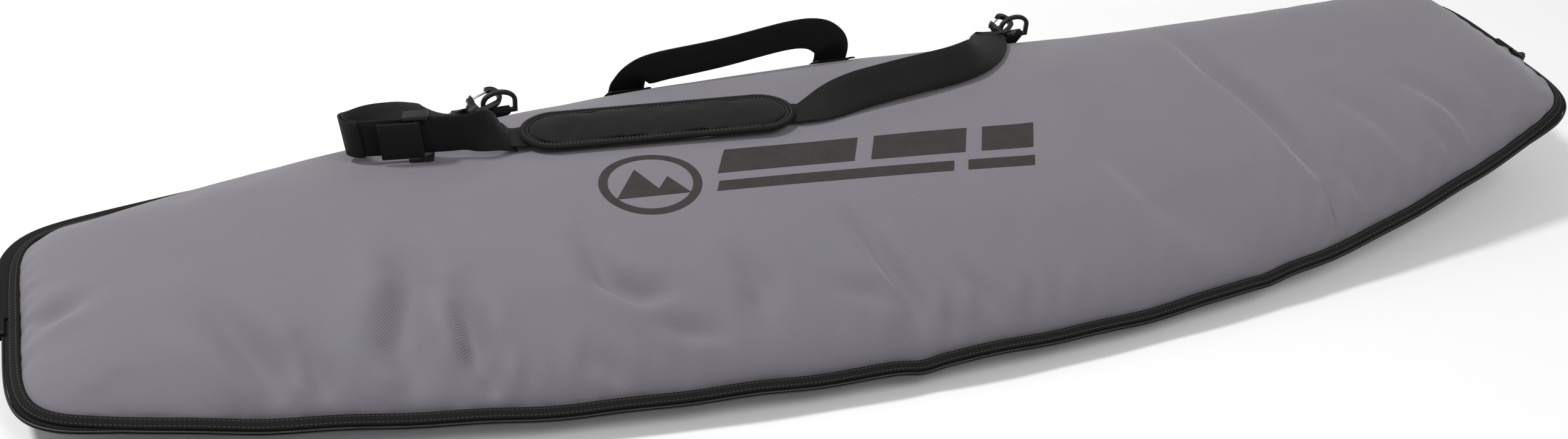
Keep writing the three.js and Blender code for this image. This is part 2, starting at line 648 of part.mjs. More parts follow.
const undersideOf = (frame, clip) => -Math.sign(frame.normal.dot(clip.loopNormal));
const leftSide = undersideOf(frames[0], leftClip);
const rightSide = undersideOf(frames[frames.length - 1], rightClip);
const leftPly = frames.slice(1, RETURN_STATIONS * PER_SPAN + 2)
  .map((frame, i) => plyBehind(frame, leftSide, i + 1)).reverse();
const leftTurn = turnRound(leftClip.barCentre, WRAP_RADIUS, leftClip.loopNormal.clone().negate(),
  leftClip.axis, leftWidth, 6).map(({ point }) => ({ point, width: frames[0].width }));
const lastFrame = frames[frames.length - 1];
const rightTurn = turnRound(rightClip.barCentre, WRAP_RADIUS, rightClip.loopNormal,
  rightClip.axis, rightClip.loopWidth, 6).map(({ point }) => ({ point, width: lastFrame.width }));
const rightPly = frames.slice(-1 - SEWN_STATIONS * PER_SPAN, -1).reverse()
  .map((frame, i) => plyBehind(frame, rightSide, i + 1));

addPart("strap_webbing", ribbonRows([
  ...leftPly, ...leftTurn.slice(0, -1), ...frames, ...rightTurn.slice(1), ...rightPly,
], WEBBING, WEBBING_THICKNESS), "webbing");

// ---- Adjuster on the strap's straight stretch: its middle bar is on the inner ply's side ----

const ADJUSTER = { at: 40, reach: 9.5, halfWidth: 22, middle: 5.4, outer: -2.8, bar: 1.5 };
const outward = runLine.clone().cross(upright).multiplyScalar(leftSide); // the inner ply's side
const adjuster = placed(alongRun(ADJUSTER.at), runLine, outward);
const rail = (sign) => boxFrom(
  [-ADJUSTER.reach - 1.5, sign * ADJUSTER.halfWidth - 1.7, ADJUSTER.outer - 1.4],
  [ADJUSTER.reach + 1.5, sign * ADJUSTER.halfWidth + 1.7, ADJUSTER.middle + 1.5],
);
const adjusterBar = (x, z) => bar([x, -ADJUSTER.halfWidth, z], [x, ADJUSTER.halfWidth, z], ADJUSTER.bar, 8);
addPart("strap_adjuster", joined(
  rail(-1), rail(1),
  adjusterBar(-ADJUSTER.reach, ADJUSTER.outer), adjusterBar(ADJUSTER.reach, ADJUSTER.outer),
  adjusterBar(0, ADJUSTER.middle),
), "plastic", adjuster.group);

// The strap's sewn end goes round the adjuster's middle bar and lies over the inner ply
const END_TAIL = 34;
const tailRadius = ADJUSTER.bar + 0.4 + WEBBING_THICKNESS / 2;
const acrossStrap = v3(0, 1, 0);
const tailTurn = turnRound(
  v3(0, 0, ADJUSTER.middle), tailRadius, v3(0, 0, -1), v3(1, 0, 0), acrossStrap, 6);
addPart("strap_end", ribbonRows([
  { point: v3(-6.5, 0, ADJUSTER.middle - tailRadius), width: acrossStrap },
  ...tailTurn,
  { point: v3(-14, 0, ADJUSTER.middle + tailRadius), width: acrossStrap },
  { point: v3(-END_TAIL, 0, ADJUSTER.middle + tailRadius), width: acrossStrap },
], WEBBING, WEBBING_THICKNESS), "webbing", adjuster.group);

// ---- Shoulder pad: a filled body in a bound edge, with a sleeve that the webbing runs through ----

const padCentre = alongPad(PAD.length / 2);
const pad = placed(padCentre, padLine, v3(0, 0.07, 1));
const capsule = (length, width, height, low) => {
  const radius = width / 2;
  const reach = length / 2 - radius;
  const shape = new THREE.Shape();
  shape.absarc(reach, 0, radius, -Math.PI / 2, Math.PI / 2, false);
  shape.absarc(-reach, 0, radius, Math.PI / 2, (3 * Math.PI) / 2, false);
  return slabOf(shape, height, low, 8);
};
const padLow = WEBBING_THICKNESS / 2 + 0.5;
const coreLength = PAD.length - 2 * PAD.edge;
const coreWidth = PAD.width - 2 * PAD.edge;
addPart("pad_body", capsule(coreLength, coreWidth, PAD.thickness, padLow), "pad", pad.group);
addPart("pad_binding", cut(
  capsule(PAD.length, PAD.width, PAD.edgeThickness, padLow + 0.5),
  capsule(coreLength + 2 * CLEARANCE, coreWidth + 2 * CLEARANCE, PAD.edgeThickness + 4, padLow - 1),
), "binding", pad.group);
const SLEEVE = { length: 90, halfWidth: 22.5, wall: 1, low: -2.4 };
addPart("pad_sleeve", joined(
  boxFrom([-SLEEVE.length / 2, -SLEEVE.halfWidth, SLEEVE.low],
    [SLEEVE.length / 2, SLEEVE.halfWidth, SLEEVE.low + SLEEVE.wall]),
  ...[-1, 1].map((side) => boxFrom(
    [-SLEEVE.length / 2, side * SLEEVE.halfWidth - SLEEVE.wall, SLEEVE.low],
    [SLEEVE.length / 2, side * SLEEVE.halfWidth + SLEEVE.wall, padLow - CLEARANCE])),
), "pad", pad.group);

// ---- Carry handle on the spine's side of the top panel ----

const HANDLE_FEET = [-178, 46];
const HANDLE_FOOT_LIFT = 7;
const handleStations = [
  station(overTop(HANDLE_FEET[0], 204, HANDLE_FOOT_LIFT).point, v3(1, 0, 0)),
  station(v3(HANDLE_FEET[0] + 1, 199, 76), v3(1, 0, 0.05)),
  station(v3(-169, 190, 88), v3(0.8, 0, -0.6)),
  station(v3(-149, 185, 97), v3(0.3, 0.1, -0.95)),
  station(v3(-86, 182, 106), v3(0.18, 0.15, -0.97)),
  station(v3(-18, 182, 117), v3(0.15, 0.15, -0.98)),
  station(v3(14, 184, 115), v3(-0.3, 0.1, -0.95)),
  station(v3(34, 190, 101), v3(-0.8, 0, -0.6)),
  station(v3(HANDLE_FEET[1] - 2, 200, 84), v3(-1, 0, -0.1)),
  station(overTop(HANDLE_FEET[1], 205, HANDLE_FOOT_LIFT).point, v3(-1, 0, 0)),
];
addPart("carry_handle", ribbon(handleStations, WEBBING), "webbing");
const gripStations = handleStations.slice(3, 6).map(({ point, width }) =>
  station(point.clone().add(v3(0, WEBBING_THICKNESS + 0.5, 0.4)), width));
addPart("handle_grip", ribbon(gripStations, WEBBING - 4), "webbing");
SIDES.forEach((side, i) => {
  const x = HANDLE_FEET[i];
  const width = v3(1, 0, 0);
  addPart(`handle_patch_${side}`, ribbonRows([188, 197, 204, 210].map((y) => (
    { point: overTop(x, y, 1.7).point, width }
  )), WEBBING + 6, 1.6), "webbing");
});

export default bag;
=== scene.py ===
"""A padded snowboard bag that lies closed on its back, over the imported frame.

Shapes are worked out in millimetres and become metres in piece().
"""
import math

import bmesh
import bpy
import numpy as np
from mathutils import Matrix, Vector
from mathutils.bvhtree import BVHTree


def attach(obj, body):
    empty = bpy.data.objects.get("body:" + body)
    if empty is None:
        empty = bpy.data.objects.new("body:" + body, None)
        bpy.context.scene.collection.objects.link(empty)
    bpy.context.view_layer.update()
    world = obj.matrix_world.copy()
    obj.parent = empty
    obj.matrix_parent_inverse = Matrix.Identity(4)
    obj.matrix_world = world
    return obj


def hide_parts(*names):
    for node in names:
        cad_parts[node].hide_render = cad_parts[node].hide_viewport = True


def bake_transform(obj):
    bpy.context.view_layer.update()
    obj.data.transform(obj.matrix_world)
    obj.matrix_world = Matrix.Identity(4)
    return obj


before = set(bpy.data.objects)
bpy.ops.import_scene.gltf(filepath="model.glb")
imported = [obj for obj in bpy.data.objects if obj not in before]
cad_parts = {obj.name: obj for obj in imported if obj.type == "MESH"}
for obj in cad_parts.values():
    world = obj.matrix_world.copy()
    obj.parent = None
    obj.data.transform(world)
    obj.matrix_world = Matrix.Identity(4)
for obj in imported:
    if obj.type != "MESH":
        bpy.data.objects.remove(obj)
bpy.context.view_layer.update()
scene = bpy.context.scene
MM = 0.001

# ---- Driving dimensions, as in the CAD part ----
HALF_LENGTH = 750.0
HALF_WIDTH_MID, HALF_WIDTH_END = 226.0, 116.0
CORNER_SHARPNESS, CORNER_ROUNDNESS = 60, 5
SEAM = 22.0
FLAT_PART, CURL_LEFT, CURL_RIGHT, CURL_POWER = 0.25, 13.0, 87.0, 2.2
DOME, DOME_LEAN, DOME_TAPER, DOME_END_DROP = 86.0, 0.21, -0.28, 0.35
RING_POWER, CROWN_POWER = 2.5, 2.1
MEDIAL = 600.0
PANEL = 10.9  # fabric, foam and lining together
WEBBING, THICK = 38.0, 1.8
SPINE_WIDTH = 20.0
END_GAP = 11.0  # half the gap between the zip and the spine at each end


# ---- Camera ----

def make_camera():
    azimuth, elevation, roll = (math.radians(a) for a in (-24.66, 35.1, 6.0))
    aim, distance = Vector((-0.07985, 0.00335, 0.022)), 1.554
    back = Vector((
        math.sin(azimuth) * math.cos(elevation),
        -math.cos(azimuth) * math.cos(elevation),
        math.sin(elevation),
    ))
    level = Vector((math.cos(azimuth), math.sin(azimuth), 0))
    above = back.cross(level)
    right = level * math.cos(roll) + above * math.sin(roll)
    up = above * math.cos(roll) - level * math.sin(roll)
    data = bpy.data.cameras.new("camera")
    data.lens, data.sensor_width = 37.24, 36
    camera = bpy.data.objects.new("camera", data)
    scene.collection.objects.link(camera)
    turn = Matrix((right, up, back)).transposed().to_4x4()
    camera.matrix_world = Matrix.Translation(aim + back * distance) @ turn
    scene.camera = camera


make_camera()


# ---- Materials ----

class Look:
    """A material under construction: a principled shader and the nodes that feed it."""

    def __init__(self, name, **fixed):
        self.material = bpy.data.materials.new(name)
        self.material.use_nodes = True
        self.tree = self.material.node_tree
        self.shader = self.tree.nodes["Principled BSDF"]
        for socket, value in fixed.items():
            self.shader.inputs[socket.replace("_", " ")].default_value = value

    def node(self, kind, inputs=None, **settings):
        made = self.tree.nodes.new(kind)
        for key, value in settings.items():
            setattr(made, key, value)
        for key, value in (inputs or {}).items():
            if isinstance(value, bpy.types.NodeSocket):
                self.tree.links.new(value, made.inputs[key])
            else:
                made.inputs[key].default_value = value
        return made

    def feed(self, socket, value):
        self.tree.links.new(value, self.shader.inputs[socket])

    def coordinates(self, source, turn=0.0):
        place = self.node("ShaderNodeTexCoord").outputs[source]
        if not turn:
            return place
        mapping = self.node("ShaderNodeMapping", {"Vector": place})
        mapping.inputs["Rotation"].default_value = (0, 0, math.radians(turn))
        return mapping.outputs["Vector"]

    def noise(self, place, size, detail=2.0, roughness=0.5):
        return self.node("ShaderNodeTexNoise", {
            "Vector": place, "Scale": 1 / size, "Detail": detail, "Roughness": roughness,
        }).outputs["Fac"]

    def ribs(self, place, direction, period):
        return self.node("ShaderNodeTexWave", {
            "Vector": place, "Scale": 2 * math.pi / (20 * period),
            "Distortion": 0.25, "Detail": 1.0, "Detail Scale": 2.0,
        }, wave_type="BANDS", bands_direction=direction).outputs["Fac"]

    def math(self, operation, a, b):
        return self.node("ShaderNodeMath", {0: a, 1: b}, operation=operation).outputs[0]

    def between(self, factor, low, high):
        return self.node("ShaderNodeMapRange", {
            "Value": factor, "To Min": low, "To Max": high,
        }).outputs["Result"]

    def ramp(self, factor, *stops):
        made = self.node("ShaderNodeValToRGB", {"Fac": factor})
        elements = made.color_ramp.elements
        while len(elements) < len(stops):
            elements.new(0.5)
        for element, (place, colour) in zip(elements, stops):
            element.position = place
            element.color = (*colour, 1)
        return made.outputs["Color"]

    def surface(self, tone, stops, wear, rough, height, depth, strength):
        """Colour by tone, roughness by wear and relief by height."""
        relief = {"Height": height, "Distance": depth, "Strength": strength}
        self.feed("Base Color", self.ramp(tone, *stops))
        self.feed("Roughness", self.between(wear, *rough))
        self.feed("Normal", self.node("ShaderNodeBump", relief).outputs["Normal"])
        return self.material


def shade(colour, factor):
    return tuple(channel * factor for channel in colour)


def woven_look(name, colour, warp, weft, depth, turn=0.0, fuzz=0.15, sheen=0.2, rough=0.78,
               contrast=0.35, gloss=0.3):
    """Cloth from crossing threads. warp and weft are the pitches along U and V, in metres."""
    look = Look(name, Sheen_Weight=sheen, Sheen_Roughness=0.5, Specular_IOR_Level=gloss)
    place = look.coordinates("UV", turn)
    solid = look.coordinates("Object")
    across = look.ribs(place, "X", warp)
    along = look.ribs(place, "Y", weft)
    weave = look.math("ADD", look.math("MULTIPLY", across, 0.68), look.math("MULTIPLY", along, 0.32))
    fibres = look.noise(solid, 0.0007, 3.0, 0.7)
    patches = look.noise(solid, 0.045, 3.0, 0.55)
    height = look.math("ADD", weave, look.math("MULTIPLY", fibres, fuzz))
    stain = look.math("MULTIPLY", patches, 0.09)
    tone = look.math("ADD", look.math("MULTIPLY", height, contrast), stain)
    low, high = shade(colour, 1 - contrast * 0.9), shade(colour, 1 + contrast * 0.9)
    return look.surface(tone, [(0.05, low), (0.75, high)], patches, (rough - 0.07, rough + 0.09),
                        height, depth, 0.8)


def soft_look(name, colour, grain, depth, sheen):
    """Brushed cloth over foam: no threads to see, only a fine nap."""
    look = Look(name, Sheen_Weight=sheen, Sheen_Roughness=0.4, Specular_IOR_Level=0.25)
    place = look.coordinates("Object")
    nap = look.noise(place, grain, 4.0, 0.7)
    patches = look.noise(place, 0.02, 3.0, 0.6)
    tone = look.math("ADD", look.math("MULTIPLY", nap, 0.6), look.math("MULTIPLY", patches, 0.4))
    stops = [(0.3, shade(colour, 0.7)), (0.7, shade(colour, 1.5))]
    return look.surface(tone, stops, patches, (0.84, 0.96), nap, depth, 0.7)


def moulded_look(name, colour, rough):
    """Moulded plastic with a fine satin grain and rubbed patches."""
    look = Look(name, Specular_IOR_Level=0.5)
    place = look.coordinates("Object")
    grain = look.noise(place, 0.0006, 3.0, 0.6)
    rubbed = look.noise(place, 0.008, 4.0, 0.65)
    stops = [(0.35, shade(colour, 0.8)), (0.75, shade(colour, 1.9))]
    return look.surface(rubbed, stops, rubbed, (rough - 0.1, rough + 0.14), grain, 0.00006, 0.5)


def wire_look(name):
    look = Look(name, Metallic=1.0)
    place = look.coordinates("Object")
    drawn = look.noise(place, 0.0015, 3.0, 0.7)
    stops = [(0.3, (0.5, 0.5, 0.5)), (0.7, (0.75, 0.75, 0.74))]
    return look.surface(drawn, stops, drawn, (0.16, 0.34), drawn, 0.00002, 0.4)


def ink_look(name, colour):
    """Screen print that has sunk into the twill."""
    look = Look(name, Specular_IOR_Level=0.25, Sheen_Weight=0.03)
    place = look.coordinates("UV", 38)
    weave = look.ribs(place, "X", 0.0016)
    wear = look.noise(look.coordinates("Object"), 0.012, 5.0, 0.7)
    stops = [(0.3, shade(colour, 0.85)), (0.75, shade(colour, 1.25))]
    return look.surface(wear, stops, wear, (0.5, 0.66), weave, 0.00012, 0.6)


def floor_look(name):
    look = Look(name, Roughness=0.6, Specular_IOR_Level=0.2)
    clouds = look.noise(look.coordinates("Object"), 0.6, 2.0)
    look.feed("Base Color", look.ramp(clouds, (0.2, (0.9, 0.9, 0.905)), (0.8, (0.92, 0.92, 0.92))))
    return look.material


FABRIC_GREY = (0.196, 0.188, 0.214)
FABRIC = woven_look("grey_twill", FABRIC_GREY, 0.0016, 0.0011, 0.00022, turn=38, sheen=0.25)
LINING = woven_look("lining", (0.02, 0.021, 0.023), 0.0009, 0.0009, 0.0001, contrast=0.3)
GROSGRAIN = woven_look("grosgrain", (0.0046, 0.0043, 0.0041), 0.0021, 0.0008, 0.00035, fuzz=0.3,
                       sheen=0.02, contrast=0.7, gloss=0.2)
STRAP_LOOK = woven_look("webbing", (0.0052, 0.0049, 0.0047), 0.0023, 0.0017, 0.0004, fuzz=0.2,
                        sheen=0.02, rough=0.72, contrast=0.75, gloss=0.22)
NAP = soft_look("brushed_cloth", (0.0082, 0.008, 0.0078), 0.0011, 0.0002, sheen=0.06)
THREAD = woven_look("thread", (0.02, 0.019, 0.018), 0.0006, 0.0006, 0.0001, rough=0.65, contrast=0.4)
PLASTIC = moulded_look("moulded_black", (0.0075, 0.0075, 0.0078), 0.4)
WIRE = wire_look("drawn_wire")
INK = ink_look("print", (0.032, 0.030, 0.029))


# ---- Making pieces ----

def piece(name, points, faces, uvs, materials, body=None, replaced=(), face_slots=None):
    """A mesh object from points in millimetres. uvs holds one pair for each corner of each face."""
    mesh = bpy.data.meshes.new(name)
    mesh.from_pydata((np.asarray(points, float) * MM).tolist(), [], faces)
    layer = mesh.uv_layers.new(name="UVMap")
    layer.data.foreach_set("uv", (np.asarray(uvs, float) * MM).ravel())
    materials = materials if isinstance(materials, (list, tuple)) else [materials]
    for material in materials:
        mesh.materials.append(material)
    if face_slots is not None:
        mesh.polygons.foreach_set("material_index", face_slots)
    mesh.shade_smooth()
    mesh.update()
    made = bpy.data.objects.new(name, mesh)
    scene.collection.objects.link(made)
    return settle_in(made, body, replaced)


def settle_in(made, body, replaced):
    if body:
        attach(made, body)
    if replaced:
        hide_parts(*replaced)
    return made


def grid_faces(rows, columns):
    """Quads over an open grid of points that are numbered row by row."""
    index = np.arange(rows * columns).reshape(rows, columns)
    corners = [index[:-1, :-1], index[:-1, 1:], index[1:, 1:], index[1:, :-1]]
    return np.stack(corners, 2).reshape(-1, 4)


def sweep(rows, lengths, widths, loop=False):
    """Faces and uvs over rows of points, each a closed ring. loop joins the last row to the first."""
    count, size = rows.shape[:2]
    faces, uvs = [], []
    for i in range(count if loop else count - 1):
        j = (i + 1) % count
        for k in range(size):
            m = (k + 1) % size
            faces.append((i * size + k, i * size + m, j * size + m, j * size + k))
            uvs += [
                (lengths[i], widths[k]), (lengths[i], widths[k + 1]),
                (lengths[i + 1], widths[k + 1]), (lengths[i + 1], widths[k]),
            ]
    if not loop:
        last = (count - 1) * size
        faces += [tuple(range(size))[::-1], tuple(range(last, last + size))]
        uvs += [(0, widths[k]) for k in range(size)] * 2
    return faces, uvs


def swept(name, rows, lengths, widths, look, body=None, replaced=(), loop=False):
    """A piece over rows of points, with its faces turned outward."""
    faces, uvs = sweep(rows, lengths, widths, loop)
    return outward(piece(name, rows.reshape(-1, 3), faces, uvs, look, body, replaced))


def along(points, closed=False):
    """Distance of each point along its row, and the whole length at the end of a closed one."""
    points = np.asarray(points, float)
    ahead = np.roll(points, -1, axis=0) if closed else points[1:]
    steps = np.linalg.norm(ahead - (points if closed else points[:-1]), axis=1)
    return np.concatenate([[0], np.cumsum(steps)])


def outward(obj):
    """Turns every face of a closed mesh to the outside."""
    work = bmesh.new()
    work.from_mesh(obj.data)
    bmesh.ops.recalc_face_normals(work, faces=work.faces)
    work.to_mesh(obj.data)
    work.free()
    return obj


def apply_modifiers(obj):
    graph = bpy.context.evaluated_depsgraph_get()
    mesh = bpy.data.meshes.new_from_object(obj.evaluated_get(graph))
    obj.modifiers.clear()
    obj.data = mesh


def subdivide(obj):
    smooth = obj.modifiers.new("smooth", "SUBSURF")
    smooth.levels = smooth.render_levels = 1
    apply_modifiers(obj)


# ---- Surfaces of the bag ----

def curl(x):
    share = np.maximum(np.minimum(np.abs(x) / HALF_LENGTH, 1.05) - FLAT_PART, 0) / (1 - FLAT_PART)
    return np.where(np.asarray(x) < 0, CURL_LEFT, CURL_RIGHT) * share ** CURL_POWER


def half_width(x, inset=0.0):
    share = np.minimum(np.abs(x) / (HALF_LENGTH - inset), 1)
    side = HALF_WIDTH_MID - (HALF_WIDTH_MID - HALF_WIDTH_END) * share ** 2 - inset
    return side * np.maximum(1 - share ** CORNER_SHARPNESS, 0) ** (1 / CORNER_ROUNDNESS)


def ring_of(x, y):
    """0 on the bag's middle line to 1 on its outline."""
    x, y = np.abs(x) + 0.0 * np.asarray(y), np.abs(y) + 0.0 * np.asarray(x)
    low, high = np.zeros_like(x), np.ones_like(x)
    beyond = x - MEDIAL
    for _ in range(26):
        ring = (low + high) / 2
        reach = MEDIAL + beyond / np.maximum(ring, 1e-9)
        inside = (reach < HALF_LENGTH) & (y / np.maximum(ring, 1e-9) < half_width(reach))
        high, low = np.where(inside, ring, high), np.where(inside, low, ring)
    straight = np.minimum(y / np.maximum(half_width(x), 1e-9), 1)
    return np.where(beyond <= 0, straight, high)


def top_height(x, y, inset=0.0, ring=None):
    ring = ring_of(x, y) if ring is None else ring
    s = x / HALF_LENGTH
    full = DOME * (1 + DOME_LEAN * s + DOME_TAPER * s * s) - inset
    ends = 1 - DOME_END_DROP * np.abs(s) ** 6
    crown = np.maximum(1 - ring ** RING_POWER, 0) ** (1 / CROWN_POWER)
    return SEAM + 0.4 + curl(x) + full * ends * crown


def bottom_height(x, inset, ring):
    rise = np.clip((ring - 0.86) / 0.14, 0, 1) ** 2.2
    return curl(x) + inset + (SEAM - 0.4 - inset) * rise


def over_top(x, y, lift):
    """A point over the top panel, lifted along its normal, and that normal."""
    slope_x = (top_height(x + 0.5, y) - top_height(x - 0.5, y))
    slope_y = (top_height(x, y + 0.5) - top_height(x, y - 0.5))
    normal = unit((-slope_x, -slope_y, 1.0))
    return np.array([x, y, float(top_height(x, y))]) + normal * lift, normal


def unit(v):
    """A vector, or each vector of a list, at length 1."""
    v = np.asarray(v, float)
    return v / np.linalg.norm(v, axis=-1, keepdims=True)


def eased(t):
    """A step from 0 to 1 with soft ends."""
    t = np.clip(t, 0, 1)
    return t * t * (3 - 2 * t)


# ---- Outline of the bag, as an even loop of points with their outward directions ----

def outline(step):
    across = np.linspace(0, 0.985, 160)
    shares = (1 - across ** CORNER_ROUNDNESS) ** (1 / CORNER_SHARPNESS)
    sides = HALF_WIDTH_MID - (HALF_WIDTH_MID - HALF_WIDTH_END) * shares ** 2
    corner = np.stack([HALF_LENGTH * shares, -sides * across], 1)
    run = np.linspace(corner[-1, 0], 0, 260)[1:]
    quarter = np.concatenate([corner, np.stack([run, -half_width(run)], 1)])[::-1]
    near = np.concatenate([quarter[:0:-1] * (-1, 1), quarter])
    whole = np.concatenate([near[:-1], (near * (1, -1))[::-1][:-1]])
    lengths = along(whole, closed=True)
    count = int(lengths[-1] / step)
    at = np.linspace(0, lengths[-1], count, endpoint=False)
    closed = np.concatenate([whole, whole[:1]])
    even = np.stack([np.interp(at, lengths, closed[:, axis]) for axis in (0, 1)], 1)
    tangent = unit(np.roll(even, -1, axis=0) - np.roll(even, 1, axis=0))
    return even, np.stack([tangent[:, 1], -tangent[:, 0]], 1)


def waver(x, y):
    """Small rise and fall of the sewn rim on the near side, with its two kinks."""
    near = np.clip(-y / 60, 0, 1) * np.clip((700 - np.abs(x)) / 120, 0, 1)
    waves = 1.1 * np.sin(x / 41 + 0.6) + 0.8 * np.sin(x / 17.5)
    kinks = -3.2 * np.exp(-((x + 42) / 15) ** 2) - 2.6 * np.exp(-((x - 330) / 18) ** 2)
    return near * (waves + kinks)


def tucked(x, out):
    """Distance out of the outline for the zip, which lies under the binding except near the bag's ends."""
    return np.asarray(out, float) * (1 - 0.26 * np.clip((718 - np.abs(x)) / 40, 0, 1))


def rows_beside(points, normals, out, height):
    """A row of points for each point of an outline, at distances out of it and at heights."""
    flat = points[:, None, :] + normals[:, None, :] * out[:, :, None]
    return np.concatenate([flat, height[:, :, None]], 2)


def seam_height(points, curled=True):
    x, y = points.T
    return (SEAM + waver(x, y) + (curl(x) if curled else 0))[:, None]


def rim_rows(points, normals, section, curled=True, tuck=False):
    out, height = np.tile(np.asarray(section, float).T[:, None], (1, len(points), 1))
    out = tucked(points[:, :1], out) if tuck else out
    return rows_beside(points, normals, out, seam_height(points, curled) + height)


rim, rim_out = outline(4.0)
near_side = np.flatnonzero(rim[:, 1] < -END_GAP)
far_side = np.flatnonzero(rim[:, 1] > END_GAP)


def rim_piece(name, section, body, node, part=None):
    """Binding or tape round the whole rim, or along a part of it."""
    loop = part is None
    points, normals = (rim, rim_out) if loop else (rim[part], rim_out[part])
    rows = rim_rows(points, normals, section, tuck=not loop)
    swept(name, rows, along(points, closed=loop), along(section, closed=True), GROSGRAIN, body,
          [node], loop)


# Cross sections of the bindings: distance out of the outline and height over the seam
TOP_BAND = [(-1.5, 6.2), (0.2, 6.9), (2.8, 6.8), (5.6, 5.5), (7.2, 3.9), (7.6, 2.8), (6.8, 2.0),
            (3.4, 1.95), (-1.0, 2.1)]
LOW_BAND = [(-0.6, -2.1), (6.4, -2.0), (7.0, -2.8), (6.2, -4.1), (3.8, -5.2), (1.0, -5.8),
            (-0.8, -5.6)]
rim_piece("top_band", TOP_BAND, "lid", "top_rim_binding")
rim_piece("low_band", LOW_BAND, "bottom", "bottom_rim_binding")


# ---- Zip: tapes, and coils with their turns ----

def zip_side(label, sign, body):
    tape = [(0.5, 0.55), (0.5, 1.8), (10.4, 1.8), (10.8, 1.2), (10.4, 0.6)]
    section = [(out, sign * height) for out, height in tape]
    rim_piece(f"zip_tape_{label}", section, body, f"zipper_tape_{label}", near_side)
    fine, fine_out = outline(0.85)
    keep = np.flatnonzero(fine[:, 1] < -END_GAP)
    fine, fine_out = fine[keep], fine_out[keep]
    turns = 0.62 + 0.38 * (np.arange(len(fine)) % 2)
    angles = np.linspace(0, 2 * np.pi, 6, endpoint=False)
    out = tucked(fine[:, :1], 12.0) + turns[:, None] * 1.2 * np.cos(angles)
    tall = sign * (1.15 + turns[:, None] * 0.9 * np.sin(angles))
    rows = rows_beside(fine, fine_out, out, seam_height(fine) + tall)
    swept(f"zip_coil_{label}", rows, along(fine), np.arange(7) * 1.2, PLASTIC, body,
          [f"zipper_coil_{label}"])


zip_side("upper", 1, "lid")
zip_side("lower", -1, "bottom")


# ---- Spine: a folded band along the far side ----

def make_spine():
    section = [
        (0.2, -1.5), (9, -1.6), (16.5, -1.5), (19.2, -0.9), (SPINE_WIDTH, 0), (19.2, 0.9), (16.5, 1.5),
        (9, 1.6), (0.2, 1.5), (0.2, 0.5), (15.5, 0.4), (17.2, 0), (15.5, -0.4), (0.2, -0.5),
    ]
    points, normals = rim[far_side], rim_out[far_side]
    rows = rim_rows(points, normals, section, curled=False)
    band = swept("spine_band", rows, along(points), along(section, closed=True), GROSGRAIN)
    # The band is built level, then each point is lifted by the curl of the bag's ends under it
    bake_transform(band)
    base = np.repeat(curl(points[:, 0]), len(section)) * MM
    for vertex, lift in zip(band.data.vertices, base):
        vertex.co.z += lift
    return settle_in(band, None, ["spine_gusset"])


make_spine()


# ---- Panels ----

ROWS, COLUMNS = 76, 252
LENGTHS = ("tail", "rear", "middle", "nose")
CREASES = [  # a run of (x, y) points, depth, half width
    ([(392, 98), (388, 15), (397, -60), (405, -123), (428, -183)], 8.5, 13),
    ([(232, 20), (218, -90), (235, -145), (275, -180), (322, -202)], 6.0, 26),
    ([(-63, -112), (-54, -158), (-39, -200), (-42, -226)], 7.6, 11),
    ([(16, -180), (31, -206), (38, -226)], 5.5, 8),
    ([(-20, -212), (5, -226)], 3.6, 7),
    ([(-108, -172), (-74, -186), (-52, -204)], 4.2, 8),
    ([(-735, -22), (-700, -16)], 6.0, 12),
    ([(-605, -62), (-586, -108), (-566, -140), (-560, -160)], 8.0, 16),
    ([(-449, -40), (-446, -88), (-470, -140), (-452, -184)], 9.2, 18),
    ([(-414, -110), (-410, -152), (-422, -204)], 10.5, 12),
    ([(-300, -75), (-294, -125), (-270, -146), (-240, -150)], 9.0, 13),
    ([(-270, -168), (-244, -182), (-212, -192)], 5.5, 8),
    ([(-180, -128), (-168, -160), (-176, -186)], 6.0, 14),
    ([(-392, -165), (-408, -204)], 6.4, 9),
    ([(-320, -182), (-298, -212)], 6.4, 9),
    ([(-540, -128), (-527, -165)], 6.4, 11),
    ([(480, -60), (512, -118), (530, -150)], 4.0, 16),
    ([(556, -66), (596, -116), (612, -148)], 4.6, 11),
    ([(640, -84), (650, -120), (652, -140)], 4.6, 11),
    ([(566, -128), (577, -162)], 4.2, 8),
    ([(440, -150), (462, -176), (471, -193)], 5.0, 8),
    ([(416, -164), (424, -198)], 4.4, 7),
]


def plan_grid():
    """Plan of the grid that covers a panel: x and y of each row (near to far) and column."""
    corner = 0.9
    share = (1 - corner ** CORNER_ROUNDNESS) ** (1 / CORNER_SHARPNESS)
    edge_x = HALF_LENGTH * share
    dense, steps = 140, 18  # length of the closer columns at each end, and how many there are
    straight = edge_x - dense
    ends = straight + dense * np.sin(np.linspace(0, np.pi / 2, steps + 1))
    middle = np.linspace(-straight, straight, COLUMNS - 2 * steps + 1)
    x = np.concatenate([-ends[:0:-1], middle, ends[1:]])
    t = (1 + np.sin(np.linspace(-np.pi / 2, np.pi / 2, ROWS + 1))) / 2
    across = np.abs(2 * t - 1) * corner
    bulge = HALF_LENGTH * (1 - across ** CORNER_ROUNDNESS) ** (1 / CORNER_SHARPNESS) - edge_x
    s = (x + edge_x) / (2 * edge_x)
    plan_x = x[None, :] + bulge[:, None] * (2 * s - 1)[None, :]
    return plan_x, (2 * t - 1)[:, None] * half_width(x)[None, :]


def spans(run, x, y):
    """For each span of a run: its number, how far along it each point lies, the gap, and the side."""
    for n, (a, b) in enumerate(zip(run[:-1], run[1:])):
        d = np.subtract(b, a).astype(float)
        t = np.clip(((x - a[0]) * d[0] + (y - a[1]) * d[1]) / (d @ d), 0, 1)
        gap = np.hypot(x - a[0] - t * d[0], y - a[1] - t * d[1])
        signed = ((x - a[0]) * d[1] - (y - a[1]) * d[0]) / np.linalg.norm(d)
        yield n, t, gap, np.sign(signed)


